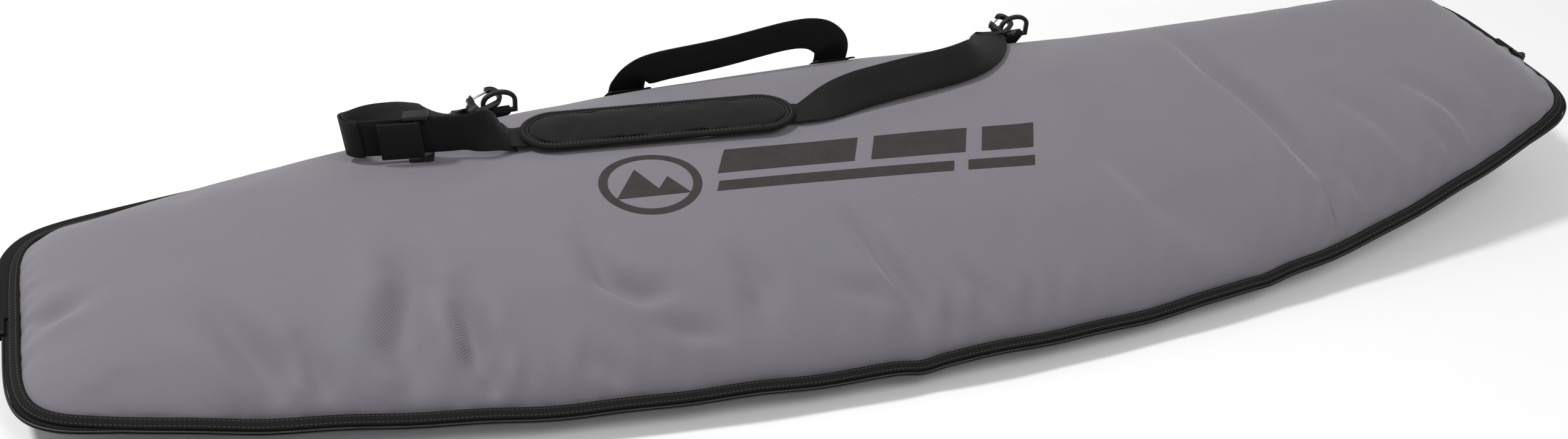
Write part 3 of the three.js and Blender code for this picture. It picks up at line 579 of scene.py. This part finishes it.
def gap_to(run, x, y):
    """Distance of each point of the plan from a run of (x, y) points."""
    return np.minimum.reduce([gap for _, _, gap, _ in spans(run, x, y)])


def crease_depth(x, y):
    """Valleys with a soft ridge beside each."""
    depth = np.zeros_like(x)
    for run, deep, wide in CREASES:
        best = np.full_like(x, 1e9)
        side = np.zeros_like(x)
        for n, t, gap, sign in spans(run, x, y):
            fade = np.sin(np.pi * np.clip((n + t + 0.12) / (len(run) - 1 + 0.24), 0, 1)) ** 0.8
            nearer = gap < best
            best = np.where(nearer, gap, best)
            side = np.where(nearer, sign * fade, side)
        valley = np.exp(-(best / wide) ** 2)
        ridge = np.exp(-((best - 1.7 * wide) / wide) ** 2)
        depth += 1.6 * np.abs(side) * deep * (-valley + 0.42 * ridge * np.where(side > 0, 1.0, 0.45))
    return depth


LAID = [  # runs that webbing or the pad lies along, and the half width each holds flat
    ([(-467, 120), (-446, 98), (-366, 77), (-315, 91), (-59, 52), (10, 54), (117, 72), (180, 115),
      (258, 200)], 30),
    ([(-330, 186), (-384, 167), (-455, 138)], 28),
    ([(-312, 186), (-312, 226)], 22),
    ([(258, 190), (258, 226)], 22),
    ([(-178, 186), (-178, 226)], 30),
    ([(46, 186), (46, 226)], 30),
]


def free_share(x, y):
    """0 where something lies on the top panel, 1 well away from it."""
    free = np.ones_like(x)
    for run, wide in LAID:
        free *= eased((gap_to(run, x, y) - wide) / 45)
    return free * (1 - 0.75 * np.clip((y - 90) / 60, 0, 1))


HOLLOWS = [  # where the strap presses in: x, y, depth, and reach along X and Y
    (-348, 195, 3.0, 26, 18),  # its left loop turns into this one when the strap is lifted
    (-323, 79, 4.4, 20, 22),
]


def pressed(x, y):
    return sum(deep * np.exp(-((x - at_x) / long) ** 2 - ((y - at_y) / wide) ** 2)
               for at_x, at_y, deep, long, wide in HOLLOWS)


def dome_share(x):
    """How much of the dome's height the fabric keeps: it lies flatter beside the right end's rim."""
    return 1 - 0.36 * eased((x - 688) / 56)


def fabric_height(x, y, inset, ring):
    rim = SEAM + 0.4 + curl(x)
    return rim + (top_height(x, y, inset, ring) - rim) * dome_share(x)


def puckers(x, y, ring):
    """Small gathers beside the sewn rim, strongest on the near side."""
    course = np.where(np.abs(x) > 690, y * 1.3 + np.sign(x) * 40, x)
    waves = (np.sin(course / 4.6 + 1.7 * np.sin(course / 53))
             + 0.8 * np.sin(course / 7.9 + 2.0 * np.sin(course / 31)))
    strength = 0.55 + 0.45 * np.sin(course / 71 + 0.9)
    near = np.where(y < 0, 1.0, 0.3)
    return 3.0 * near * strength * waves * np.exp(-((ring - 0.935) / 0.055) ** 2)


SETTLING_STEPS = 20


def cloth_settle(obj, pinned, pressure, grow, cap, bending=0.6, stiff=12.0):
    """Lets the cloth swell and buckle. Each point's move is held under cap metres."""
    group = obj.vertex_groups.new(name="pinned")
    group.add([int(i) for i in pinned], 1.0, "REPLACE")
    cloth = obj.modifiers.new("cloth", "CLOTH")
    settings = cloth.settings
    settings.vertex_group_mass = "pinned"
    settings.quality = 5
    settings.mass = 0.2
    settings.tension_stiffness = settings.compression_stiffness = stiff
    settings.shear_stiffness = stiff / 2
    settings.bending_stiffness = bending
    settings.use_pressure = True
    settings.uniform_pressure_force = pressure
    settings.shrink_min = grow
    settings.effector_weights.gravity = 0
    cloth.collision_settings.use_collision = False
    cloth.point_cache.frame_start, cloth.point_cache.frame_end = 1, SETTLING_STEPS
    for step in range(1, SETTLING_STEPS + 1):
        scene.frame_set(step)
    graph = bpy.context.evaluated_depsgraph_get()
    settled = obj.evaluated_get(graph).to_mesh()
    rest = np.array([v.co for v in obj.data.vertices])
    moved = np.array([v.co for v in settled.vertices]) - rest
    obj.modifiers.remove(cloth)
    obj.vertex_groups.clear()
    scene.frame_set(1)
    size = np.linalg.norm(moved, axis=1)[:, None]
    held = moved * (cap * np.tanh(size / cap) / np.maximum(size, 1e-9))
    obj.data.vertices.foreach_set("co", (rest + held).astype(np.float32).ravel())
    obj.data.update()


plan_x, plan_y = plan_grid()
plan_ring = ring_of(plan_x, plan_y)
EDGE = np.zeros(plan_x.shape, bool)
EDGE[0], EDGE[-1], EDGE[:, 0], EDGE[:, -1] = True, True, True, True
plan_ring = np.where(EDGE, 1.0, plan_ring)


def inner_plan(inset):
    x = plan_x * (HALF_LENGTH - inset) / HALF_LENGTH
    y = plan_y * half_width(x, inset) / np.maximum(half_width(plan_x), 1e-6)
    return x, np.where(half_width(plan_x) > 1, y, 0)


def border(shape):
    """Indices round the edge of a grid, in order."""
    rows, columns = shape
    index = np.arange(rows * columns).reshape(shape)
    return np.concatenate([index[0, :-1], index[:-1, -1], index[-1, :0:-1], index[:0:-1, 0]])


def panel(name, outer, inner, body, replaced):
    """A closed panel: fabric outside, lining inside, joined round the rim."""
    rows, columns = outer.shape[:2]
    u = plan_x[rows // 2]
    steps = np.linalg.norm(np.diff(outer, axis=0), axis=2).mean(1)
    v = np.concatenate([[0], np.cumsum(steps)])
    v -= v[rows // 2]
    cloth = np.stack(np.meshgrid(u, v), 2).reshape(-1, 2)
    fabric = grid_faces(rows, columns)
    lining = fabric[:, ::-1]
    edge, size = border((rows, columns)), rows * columns
    ahead = np.roll(edge, -1)
    hem = np.stack([ahead, edge, edge + size, ahead + size], 1)
    hem_uvs = np.tile([(0, 0), (0, 12), (11, 12), (11, 0)], (len(hem), 1, 1))
    faces = np.concatenate([fabric, lining + size, hem]).tolist()
    uvs = np.concatenate([cloth[fabric], cloth[lining], hem_uvs])
    slots = [0] * len(fabric) + [1] * (len(faces) - len(fabric))
    points = np.concatenate([outer.reshape(-1, 3), inner.reshape(-1, 3)])
    made = piece(name, points, faces, uvs, [FABRIC, LINING], body, replaced, slots)
    outward(made)
    return made


def settled_skin(points, pressure, grow, cap):
    """The outer skin after its cloth has settled, as rows of points in millimetres."""
    rows, columns = points.shape[:2]
    mesh = bpy.data.meshes.new("settling")
    mesh.from_pydata((points.reshape(-1, 3) * MM).tolist(), [], grid_faces(rows, columns).tolist())
    skin = bpy.data.objects.new("settling", mesh)
    scene.collection.objects.link(skin)
    cloth_settle(skin, border((rows, columns)), pressure, grow, cap)
    settled = np.array([v.co for v in mesh.vertices]).reshape(points.shape)
    bpy.data.objects.remove(skin)
    return settled / MM


def make_top():
    inside = 1 - plan_ring ** 24
    wave = waver(plan_x, plan_y) * plan_ring ** 10
    free = free_share(plan_x, plan_y)
    folds = crease_depth(plan_x, plan_y) + puckers(plan_x, plan_y, plan_ring)
    lift = (folds * free - pressed(plan_x, plan_y)) * inside + wave
    drawn = np.stack([plan_x, plan_y, fabric_height(plan_x, plan_y, 0.0, plan_ring) + lift], 2)
    settled = settled_skin(drawn, pressure=1.6, grow=-0.014, cap=0.003)
    outer = drawn + (settled - drawn) * free[:, :, None]
    x, y = inner_plan(PANEL)
    # Under the deepest creases the lining is pushed in too
    sunk = np.minimum(crease_depth(x, y) * free_share(x, y) * inside + 4.0, 0)
    inner = np.stack([x, y, fabric_height(x, y, PANEL, plan_ring) + wave + sunk], 2)
    foam = [f"top_panel_foam_{length}" for length in LENGTHS]
    return panel("top_panel", outer, inner, "lid", ["top_panel_shell", *foam, "top_panel_lining"])


def make_bottom():
    wave = waver(plan_x, plan_y) * plan_ring ** 20
    outer_z = bottom_height(plan_x, 0.0, plan_ring) + wave
    bulge = 1.6 * np.sin(plan_x / 37.0) * (plan_ring - 0.86).clip(0) * 7 * (1 - plan_ring ** 8)
    outer = np.stack([plan_x, plan_y, np.maximum(outer_z + bulge, 0.05)], 2)
    x, y = inner_plan(PANEL)
    inner = np.stack([x, y, bottom_height(x, PANEL, plan_ring) + wave], 2)
    sheets = [f"bottom_panel_{layer}_{length}" for layer in ("shell", "foam") for length in LENGTHS]
    panel("bottom_panel", outer, inner, "bottom", [*sheets, "bottom_panel_lining"])


top_panel = make_top()
make_bottom()
subdivide(top_panel)


# ---- Stitches ----

def stitches(name, path, normals, body):
    """A row of sewn stitches along a path, each a small rounded bar."""
    pitch, length, width, height = 3.6, 2.6, 0.55, 0.35
    lengths = along(path)
    starts = np.arange(pitch / 2, lengths[-1] - pitch / 2, pitch)
    sample = lambda values, at: np.stack([np.interp(at, lengths, values[:, k]) for k in range(3)], 1)
    points, faces = [], []
    profile = [(-0.5, 0.35), (-0.3, 1.0), (0.3, 1.0), (0.5, 0.35)]
    skin = grid_faces(4, 4)[:, [0, 3, 2, 1]]
    centre, up = sample(path, starts), sample(normals, starts)
    ahead = unit(sample(path, starts + 0.5) - sample(path, starts - 0.5))
    for c, a, s, u in zip(centre, ahead, unit(np.cross(ahead, up)), up):
        faces += (skin + len(points)).tolist()
        for place, full in profile:
            for across, tall in ((-1, 0), (-0.6, 1), (0.6, 1), (1, 0)):
                points.append(c + a * length * place
                              + s * width * across * full + u * height * tall * full)
    uvs = [(0, 0), (1, 0), (1, 1), (0, 1)] * len(faces)
    piece(name, points, faces, uvs, THREAD, body)


def rim_stitches(name, out, height, tilt, body):
    rows = rim_rows(rim, rim_out, [(out, height)])[:, 0]
    up = np.concatenate([rim_out * math.sin(tilt), np.full((len(rim), 1), math.cos(tilt))], 1)
    closed = np.concatenate([rows, rows[:1]])
    stitches(name, closed, np.concatenate([up, up[:1]]), body)


rim_stitches("top_band_stitches", 1.5, 6.85, 0.0, "lid")
rim_stitches("top_lip_stitches", 6.4, 4.7, 0.8, "lid")
rim_stitches("low_band_stitches", 5.0, -4.65, 2.7, "bottom")


# ---- Ribbons of webbing ----

def spline(values, per_span):
    """Even Catmull-Rom points through the values."""
    values = np.asarray(values, float)
    padded = np.concatenate([[2 * values[0] - values[1]], values, [2 * values[-1] - values[-2]]])
    result = []
    for i in range(1, len(padded) - 2):
        p0, p1, p2, p3 = padded[i - 1:i + 3]
        for t in np.arange(per_span) / per_span:
            result.append(0.5 * (2 * p1 + (p2 - p0) * t + (2 * p0 - 5 * p1 + 4 * p2 - p3) * t ** 2
                                 + (3 * p1 - p0 - 3 * p2 + p3) * t ** 3))
    return np.array(result + [values[-1]])


def frames_of(centres, widths):
    tangent = unit(np.gradient(centres, axis=0))
    across = unit(widths - tangent * np.sum(widths * tangent, axis=1)[:, None])
    return across, np.cross(tangent, across)


def ribbon(name, stations, width, thick, body, replaced, look=STRAP_LOOK, per_span=6):
    """A flat band through stations of (point, width direction)."""
    centres = spline([s[0] for s in stations], per_span)
    widths = spline([s[1] for s in stations], per_span)
    across, normal = frames_of(centres, widths)
    shares = np.array([-0.5, -0.47, -0.25, 0, 0.25, 0.47, 0.5])
    lift = np.array([0, 1, 1, 1, 1, 1, 0]) * thick / 2
    face = np.stack([shares * width, lift], 1)
    section = np.concatenate([face, (face * (1, -1))[-2:0:-1]])
    rows = (centres[:, None] + across[:, None] * section[None, :, :1]
            + normal[:, None] * section[None, :, 1:])
    widths_uv = np.concatenate([section[:, 0], section[:1, 0]])
    made = swept(name, rows, along(centres), widths_uv, look, body, replaced)
    return {"object": made, "centres": centres, "across": across * width, "normal": normal,
            "half": thick / 2}


def edge_stitches(name, band, share, body, side=1, part=slice(None)):
    """Stitches along a ribbon, at a share of its width from its middle line."""
    normal = band["normal"][part] * side
    path = band["centres"][part] + band["across"][part] * share + normal * band["half"]
    stitches(name, path, normal, body)


def turn_round(centre, radius, start, towards, width):
    """Stations of half a turn about a bar."""
    return [(centre + start * radius * math.cos(a) + towards * radius * math.sin(a), width)
            for a in np.linspace(0, np.pi, 7)]


def placed(x_axis, z_axis):
    x = unit(x_axis)
    z = unit(np.asarray(z_axis, float) - x * np.dot(z_axis, x))
    return x, np.cross(z, x), z


# ---- Hardware: the CAD shapes with rounded edges ----

def rounded(node, name, width, body, look):
    weld, flat, edge, crisp = 1e-6, math.radians(4), math.radians(35), math.radians(50)
    source = bpy.data.objects[node]
    made = bpy.data.objects.new(name, source.data.copy())
    scene.collection.objects.link(made)
    made.matrix_world = source.matrix_world.copy()
    work = bmesh.new()
    work.from_mesh(made.data)
    bmesh.ops.remove_doubles(work, verts=work.verts, dist=weld)
    bmesh.ops.dissolve_limit(work, angle_limit=flat, verts=work.verts, edges=work.edges)
    work.to_mesh(made.data)
    work.free()
    made.data.materials.clear()
    made.data.materials.append(look)
    bevel = made.modifiers.new("bevel", "BEVEL")
    bevel.width, bevel.segments = width * MM, 3
    bevel.limit_method, bevel.angle_limit = "ANGLE", edge
    apply_modifiers(made)
    made.data.shade_smooth()
    made.data.set_sharp_from_angle(angle=crisp)
    settle_in(made, body, [node])


for side in ("left", "right"):
    rounded(f"ring_{side}", f"ring_wire_{side}", 1.5, "strap", PLASTIC)
    rounded(f"hook_{side}", f"snap_hook_{side}", 1.1, f"{side}_hook", PLASTIC)
    rounded(f"strap_loop_{side}", f"loop_frame_{side}", 0.8, "strap", PLASTIC)
    rounded(f"hook_gate_{side}", f"gate_wire_{side}", 0.4, f"{side}_gate", WIRE)
rounded("strap_adjuster", "adjuster_frame", 0.9, "adjuster", PLASTIC)
rounded("zip_slider", "slider_body", 0.6, "slider", PLASTIC)
rounded("zip_pull", "slider_pull", 0.5, "pull", PLASTIC)

RING_BARS = [np.array([-312, 188, 65.6]), np.array([258, 194, 79.8])]
RING_LINE = unit(RING_BARS[1] - RING_BARS[0])
CLIP_AXES = [unit((0.9, 0.37, 0.12)), unit((0.75, 0.62, 0))]
WIRE_THICK, RING_REACH, RING_RISE = 4.5, 15.75, 21.5
LOOP_BAR, WRAP = -27.0, 1.9 + 0.4 + THICK / 2
PLY_GAP = 3.0
TAB_WIDTH, TAB_THICK = 21.0, 1.4


def clip_of(i):
    """Ring tab of one side, and where the strap's loop lies."""
    bar, side = RING_BARS[i], ("left", "right")[i]
    _, normal = over_top(bar[0], bar[1], 0)
    normal = unit(normal - RING_LINE * (normal @ RING_LINE))
    turn = WIRE_THICK / 2 + 0.5 + TAB_THICK / 2
    slope = unit(np.cross(RING_LINE, normal))
    slope = slope if slope[2] > 0 else -slope
    hem = float(half_width(bar[0])) - 3
    mid = (bar[1] + hem) / 2
    lay = lambda y, lift: (over_top(bar[0], y, lift)[0], RING_LINE)
    tab = ribbon(f"tab_{side}", [
        lay(hem, 2.6), lay(mid, 2.6), *turn_round(bar, turn, -normal, slope, RING_LINE),
        lay(mid, 6), lay(hem, 5.2),
    ], TAB_WIDTH, TAB_THICK, "lid", [f"ring_tab_{side}"])
    top_ply = slice(-11, -2)
    for label, share in (("near", -0.42), ("far", 0.42)):
        edge_stitches(f"tab_stitches_{side}_{label}", tab, share, "lid", 1, top_ply)
    ring_x, _, ring_z = placed(RING_LINE, (0, 0, 1))
    crossing = bar - ring_x * RING_REACH + ring_z * RING_RISE * 0.58
    axis = CLIP_AXES[i]
    centre = crossing + axis * LOOP_BAR
    _, y, z = placed(axis, over_top(centre[0], centre[1], 0)[1])
    return {"bar": centre, "axis": axis, "width": y, "normal": z}


left_clip, right_clip = clip_of(0), clip_of(1)


# ---- Shoulder strap ----

PAD_LENGTH, PAD_WIDTH = 260.0, 70.0
pad_start, pad_end = over_top(-315, 91.5, 3.6)[0], over_top(-59, 52.3, 3.6)[0]
pad_line = unit(pad_end - pad_start)
flat_width = (0.15, 0.985, -0.07)
run_from, run_to = np.array([-446, 98.4, 110]), np.array([-366, 77, 118])
run_line, run_length = unit(run_to - run_from), float(np.linalg.norm(run_to - run_from))
upright = unit(np.array([0, 0, 1]) - run_line * run_line[2])


def on_loop(clip, distance, lift):
    return clip["bar"] + clip["axis"] * distance + clip["normal"] * lift, clip["width"]


def make_strap():
    pad_at = lambda distance: (pad_start + pad_line * distance, flat_width)
    run_at = lambda distance: (run_from + run_line * distance, upright)
    main = [
        on_loop(left_clip, 0, WRAP), on_loop(left_clip, -12, WRAP + 1),
        ((-384, 167, 88), (0.05, 0.95, -0.25)), ((-410, 163, 93), (0, 1, 0.05)),
        ((-434, 153, 93), (-0.1, 0.85, 0.5)), ((-455, 138, 96), (-0.3, 0.5, 0.8)),
        ((-467, 120, 104), (-0.15, 0.15, 0.98)), ((-461, 105, 108), upright),
        run_at(0), run_at(run_length / 2), run_at(run_length - 16), run_at(run_length),
        ((-351, 79.5, 116), (0.05, 0.45, 0.89)), ((-338, 86.5, 109), (0.12, 0.85, 0.5)),
        (pad_at(-10)[0] + (0, 0, 1.5), flat_width), pad_at(8), pad_at(PAD_LENGTH / 2),
        pad_at(PAD_LENGTH - 8), pad_at(PAD_LENGTH + 10),
        ((-22, 51.5, 118), (0.1, 0.88, 0.47)), ((10, 54.5, 125), (0, 0.72, 0.7)),
        ((73, 64.5, 127.5), (-0.1, 0.7, 0.7)), ((117, 72.5, 127.5), (-0.15, 0.62, 0.76)),
        ((150, 86, 126), (-0.3, 0.65, 0.65)), ((180, 115, 115), (-0.65, 0.65, 0.3)),
        ((201, 146, 105), (-0.75, 0.62, 0.05)),
        on_loop(right_clip, -12, WRAP + 1), on_loop(right_clip, 0, WRAP),
    ]
    centres, widths = spline([s[0] for s in main], 2), spline([s[1] for s in main], 2)
    across, normal = frames_of(centres, widths)
    under = lambda i, clip: -np.sign(normal[i] @ clip["normal"])
    left_side, right_side = under(0, left_clip), under(-1, right_clip)

    def behind(i, side, steps):
        gap = PLY_GAP + (2 * WRAP - PLY_GAP) * max(1 - steps / 3, 0)
        return centres[i] + normal[i] * side * gap, across[i]

    left_ply = [behind(i, left_side, i) for i in range(15, 0, -1)]
    left_turn = turn_round(left_clip["bar"], WRAP, -left_clip["normal"], left_clip["axis"], across[0])
    right_turn = turn_round(right_clip["bar"], WRAP, right_clip["normal"], right_clip["axis"], across[-1])
    last = len(centres) - 1
    right_ply = [behind(last - n, right_side, n) for n in range(1, 5)]
    places = [*left_ply, *left_turn[:-1], *zip(centres, across), *right_turn[1:], *right_ply]
    ribbon("strap_band", places, WEBBING, THICK, "strap", ["strap_webbing"], per_span=4)
    return left_side


outer_side = make_strap()


def make_strap_end():
    """The strap's sewn end, round the adjuster's middle bar."""
    out = np.cross(run_line, upright) * outer_side
    x, y, z = placed(run_line, out)
    origin = run_from + run_line * 40
    local = lambda p: origin + x * p[0] + y * p[1] + z * p[2]
    radius, middle = 1.5 + 0.4 + THICK / 2, 5.4
    bar, down, ahead = np.array([0, 0, middle]), np.array([0, 0, -1]), np.array([1, 0, 0])
    turn = [p for p, _ in turn_round(bar, radius, down, ahead, y)]
    outside = [(at, 0, middle + radius) for at in (-14, -24, -34)]
    stations = [(local(p), y) for p in [(-6.5, 0, middle - radius), *turn, *outside]]
    tail = ribbon("strap_tail", stations, WEBBING, THICK, "adjuster", ["strap_end"])
    edge_stitches("tail_stitches", tail, 0.3, "adjuster", 1, slice(-12, -1))


make_strap_end()


# ---- Shoulder pad ----

pad_x, pad_y, pad_z = placed(pad_line, (0, 0.07, 1))
pad_centre = pad_start + pad_line * PAD_LENGTH / 2
PAD_LOW = 1.4


def capsule(length, width):
    """Outline of a round-ended strip, and its outward directions, in the pad's own plane."""
    radius, reach = width / 2, length / 2 - width / 2
    arc = np.linspace(-np.pi / 2, np.pi / 2, 30)
    right = np.stack([reach + radius * np.cos(arc), radius * np.sin(arc)], 1)
    straight = 38
    side = np.stack([np.linspace(reach, -reach, straight + 2)[1:-1], np.full(straight, radius)], 1)
    half = np.concatenate([right, side])
    out = np.concatenate([np.stack([np.cos(arc), np.sin(arc)], 1), np.tile((0.0, 1.0), (straight, 1))])
    return np.concatenate([half, -half]), np.concatenate([out, -out])


def on_pad(points):
    points = np.asarray(points, float)
    return pad_centre + points[..., :1] * pad_x + points[..., 1:2] * pad_y + points[..., 2:3] * pad_z


def make_pad():
    ring, out = capsule(PAD_LENGTH - 15, PAD_WIDTH - 15)
    reach = (PAD_LENGTH - PAD_WIDTH) / 2
    spine = np.stack([np.clip(ring[:, 0], -reach, reach), np.zeros(len(ring))], 1)
    shares = [1.0, 1.0, 0.96, 0.88, 0.72, 0.5, 0.25, 0.04]
    heights = [PAD_LOW + 0.6, 3.6, 5.6, 7.0, 8.0, 8.6, 8.9, 9.0]
    layers = []
    for share, height in zip(shares, heights):
        flat = spine + (ring - spine) * share
        layers.append(np.concatenate([flat, np.full((len(ring), 1), height)], 1))
    rows = np.stack(layers)
    faces, uvs = sweep(rows, 6 * np.arange(len(layers) + 1), along(ring, closed=True))
    pad = piece("pad_cushion", on_pad(rows).reshape(-1, 3), faces, uvs, NAP)
    remesh = pad.modifiers.new("remesh", "REMESH")
    remesh.mode, remesh.voxel_size = "VOXEL", 0.004
    apply_modifiers(pad)
    local = [(Vector(v.co) / MM - Vector(pad_centre)).dot(Vector(pad_z)) for v in pad.data.vertices]
    low = [i for i, height in enumerate(local) if height < PAD_LOW + 1.6]
    cloth_settle(pad, low, pressure=4.0, grow=-0.01, cap=0.006, bending=0.4, stiff=10)
    subdivide(pad)
    pad.data.materials.clear()
    pad.data.materials.append(NAP)
    pad.data.shade_smooth()
    settle_in(pad, "pad", ["pad_body"])

    edge, edge_out = capsule(PAD_LENGTH - 4, PAD_WIDTH - 4)
    section = np.array([(-7.6, 1.9), (-7.0, 4.4), (-4.0, 5.6), (-0.5, 6.1), (1.6, 5.2), (2.1, 3.6),
                        (1.4, 2.1), (-2, 1.8)])
    rows = rows_beside(edge, edge_out, *np.tile(section.T[:, None], (1, len(edge), 1)))
    swept("pad_band", on_pad(rows), along(edge, closed=True), along(section, closed=True), GROSGRAIN,
          "pad", ["pad_binding"], loop=True)
    for label, inset, height in (("inner", 5.4, 5.3), ("outer", 1.4, 5.95)):
        line = edge - edge_out * inset
        path = on_pad(np.concatenate([line, np.full((len(line), 1), height)], 1))
        path = np.concatenate([path, path[:1]])
        stitches(f"pad_stitches_{label}", path, np.tile(pad_z, (len(path), 1)), "pad")


make_pad()


def make_sleeve():
    """The flat sleeve under the pad that the webbing runs through."""
    wide, low, high, wall = 22.5, -2.4, 1.0, 0.9
    outer = [(-wide, high), (-wide - 0.6, 0), (-wide, low + 0.4), (-wide + 2, low), (wide - 2, low),
             (wide, low + 0.4), (wide + 0.6, 0), (wide, high)]
    inner = [(y * (1 - wall / wide), z + (wall if z < 0 else 0)) for y, z in outer[::-1]]
    section = np.array(outer + inner)
    x = np.linspace(-45, 45, 19)
    rows = np.stack([np.concatenate([np.full((len(section), 1), at), section], 1) for at in x])
    swept("pad_channel", on_pad(rows), x, along(section, closed=True), NAP, "pad", ["pad_sleeve"])


make_sleeve()


# ---- Carry handle ----

LEFT_FOOT, RIGHT_FOOT = -178, 46


def upper_side(band):
    """1 where a ribbon's own normal points up, -1 where it points down."""
    return 1 if band["normal"][0][2] > 0 else -1


def make_handle():
    foot = lambda x, y: over_top(x, y, 3.4)[0]
    stations = [
        (foot(LEFT_FOOT, 209), (1, 0, 0)), (foot(LEFT_FOOT, 203), (1, 0, 0)),
        ((-177, 199, 76), (1, 0, 0.05)),
        ((-169, 190, 88), (0.8, 0, -0.6)), ((-149, 185, 97), (0.3, 0.1, -0.95)),
        ((-86, 182, 106), (0.18, 0.15, -0.97)), ((-18, 182, 117), (0.15, 0.15, -0.98)),
        ((14, 184, 115), (-0.3, 0.1, -0.95)), ((34, 190, 101), (-0.8, 0, -0.6)),
        ((44, 200, 84), (-1, 0, -0.1)), (foot(RIGHT_FOOT, 204), (-1, 0, 0)),
        (foot(RIGHT_FOOT, 210), (-1, 0, 0)),
    ]
    stations = [(np.array(p, float), np.array(w, float)) for p, w in stations]
    band = ribbon("handle_band", stations, WEBBING, THICK, None, ())["object"]
    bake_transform(band)
    settle_in(band, None, ["carry_handle"])
    lifted = [(p + np.array([0, THICK + 0.5, 0.4]), w) for p, w in stations[4:7]]
    grip = ribbon("grip_band", lifted, WEBBING - 4, THICK, "handle", ["handle_grip"], per_span=8)
    for label, share in (("upper", -0.42), ("lower", 0.42)):
        for facing, side in (("in", -1), ("out", 1)):
            edge_stitches(f"grip_stitches_{label}_{facing}", grip, share, "handle", side)
    for label, x in (("left", LEFT_FOOT), ("right", RIGHT_FOOT)):
        rows = [(over_top(x, y, 1.7)[0], (1.0, 0, 0)) for y in (188, 193, 197, 201, 204, 207, 210)]
        patch = ribbon(f"patch_{label}", rows, WEBBING + 6, 1.6, "lid", [f"handle_patch_{label}"],
                       per_span=3)
        for place, share in (("near", -0.44), ("far", 0.44)):
            edge_stitches(f"patch_stitches_{label}_{place}", patch, share, "lid", upper_side(patch))


make_handle()


# ---- Folded tabs over the zip's ends ----

def make_end_tab(label, sign):
    base = SEAM + float(curl(sign * HALF_LENGTH))
    place = lambda out, y, tall: ((sign * (HALF_LENGTH + out), y, base + tall), (0, 1.0, 0))
    profile = [(10.5, 3), (15, 3.1), (19.5, 2.6), (21.6, 0), (19.5, -2.6), (15, -3.1), (10.5, -3)]
    stations = [place(out, 2.0, tall) for out, tall in profile]
    tab = ribbon(f"end_tab_{label}", stations, 24, 1.2, "bottom", [f"zip_end_tab_{label}"],
                 GROSGRAIN, per_span=4)
    edge_stitches(f"end_tab_stitches_{label}", tab, -0.4, "bottom", upper_side(tab), slice(0, 9))
    # A short tape joins the zip's end to the spine's end, between the two bindings
    joining = [place(out, 0, 0) for out in (2, 6, 10, 14)]
    ribbon(f"end_tape_{label}", joining, 2 * END_GAP - 0.6, 1.6, "bottom", (), GROSGRAIN)


make_end_tab("left", -1)
make_end_tab("right", 1)


# ---- Print: a plain badge with two peaks, and two stripes ----

def make_print():
    origin, angle = (-262.0, -17.0), math.radians(-7.2)
    turn = np.array([(math.cos(angle), -math.sin(angle)), (math.sin(angle), math.cos(angle))])
    tree = BVHTree.FromPolygons(
        [v.co.copy() for v in top_panel.data.vertices],
        [tuple(p.vertices) for p in top_panel.data.polygons])
    points, faces, uvs = [], [], []

    def land(place):
        x, y = origin + turn @ place
        spot, normal, _, _ = tree.ray_cast(Vector((x * MM, y * MM, 1)), Vector((0, 0, -1)))
        return np.array(spot + normal * 0.0004) / MM

    def patch(corner, columns, rows):
        grid = [corner(i / columns, j / rows) for j in range(rows + 1) for i in range(columns + 1)]
        quads = grid_faces(rows + 1, columns + 1)
        faces.extend((quads + len(points)).tolist())
        uvs.extend(grid[k] for k in quads.ravel())
        points.extend(land(place) for place in grid)

    def bar(left, right, low, high, slant):
        cells = [max(int(length / 7), 2) for length in (right - left, high - low)]
        patch(lambda s, t: (left + (right - left) * s + slant * t, low + (high - low) * t), *cells)

    def hoop(x, y, outer, inner):
        reach = lambda t: inner + (outer - inner) * t
        patch(lambda s, t: (x + reach(t) * math.cos(2 * math.pi * s),
                            y + reach(t) * math.sin(2 * math.pi * s)), 72, 2)

    def peak(left, right, low, top):
        middle = (left + right) / 2
        patch(lambda s, t: (middle + (left + (right - left) * s - middle) * (1 - t),
                            low + (top - low) * t), 8, 8)

    hoop(38, 2, 46, 38)
    peak(5, 49, -18, 24)
    peak(38, 71, -18, 9)
    for left, right in ((100, 228), (244, 336), (352, 404)):
        bar(left, right, 6, 44, 14)
    for left, right in ((94, 316), (330, 396)):
        bar(left, right, -20, -6, 5)
    piece("printed_badge", points, faces, uvs, INK, "lid")


make_print()


# ---- Floor and light ----

def area_light(name, place, aim, size, power, tint=(1, 1, 1)):
    data = bpy.data.lights.new(name, "AREA")
    data.shape, data.size, data.energy, data.color = "DISK", size, power, tint
    lamp = bpy.data.objects.new(name, data)
    scene.collection.objects.link(lamp)
    lamp.location = place
    lamp.rotation_euler = (Vector(aim) - Vector(place)).to_track_quat("-Z", "Y").to_euler()


def make_stage():
    mesh = bpy.data.meshes.new("floor")
    mesh.from_pydata([(-30, -30, 0), (30, -30, 0), (30, 30, 0), (-30, 30, 0)], [], [(0, 1, 2, 3)])
    mesh.materials.append(floor_look("floor"))
    floor = bpy.data.objects.new("floor", mesh)
    floor.location.z = -0.0005
    scene.collection.objects.link(floor)
    world = bpy.data.worlds.new("studio")
    world.use_nodes = True
    glow = world.node_tree.nodes["Background"].inputs
    glow["Color"].default_value = (1, 1, 1, 1)
    glow["Strength"].default_value = 0.45
    scene.world = world
    area_light("key", (-2.1, 0.9, 3.4), aim=(0, 0, 0.05), size=0.65, power=102, tint=(1, 0.99, 0.98))
    area_light("sky", (1.2, -2.6, 4.4), aim=(0, 0, 0), size=2.5, power=80)
    scene.view_settings.view_transform = "Standard"


make_stage()
bpy.context.view_layer.update()
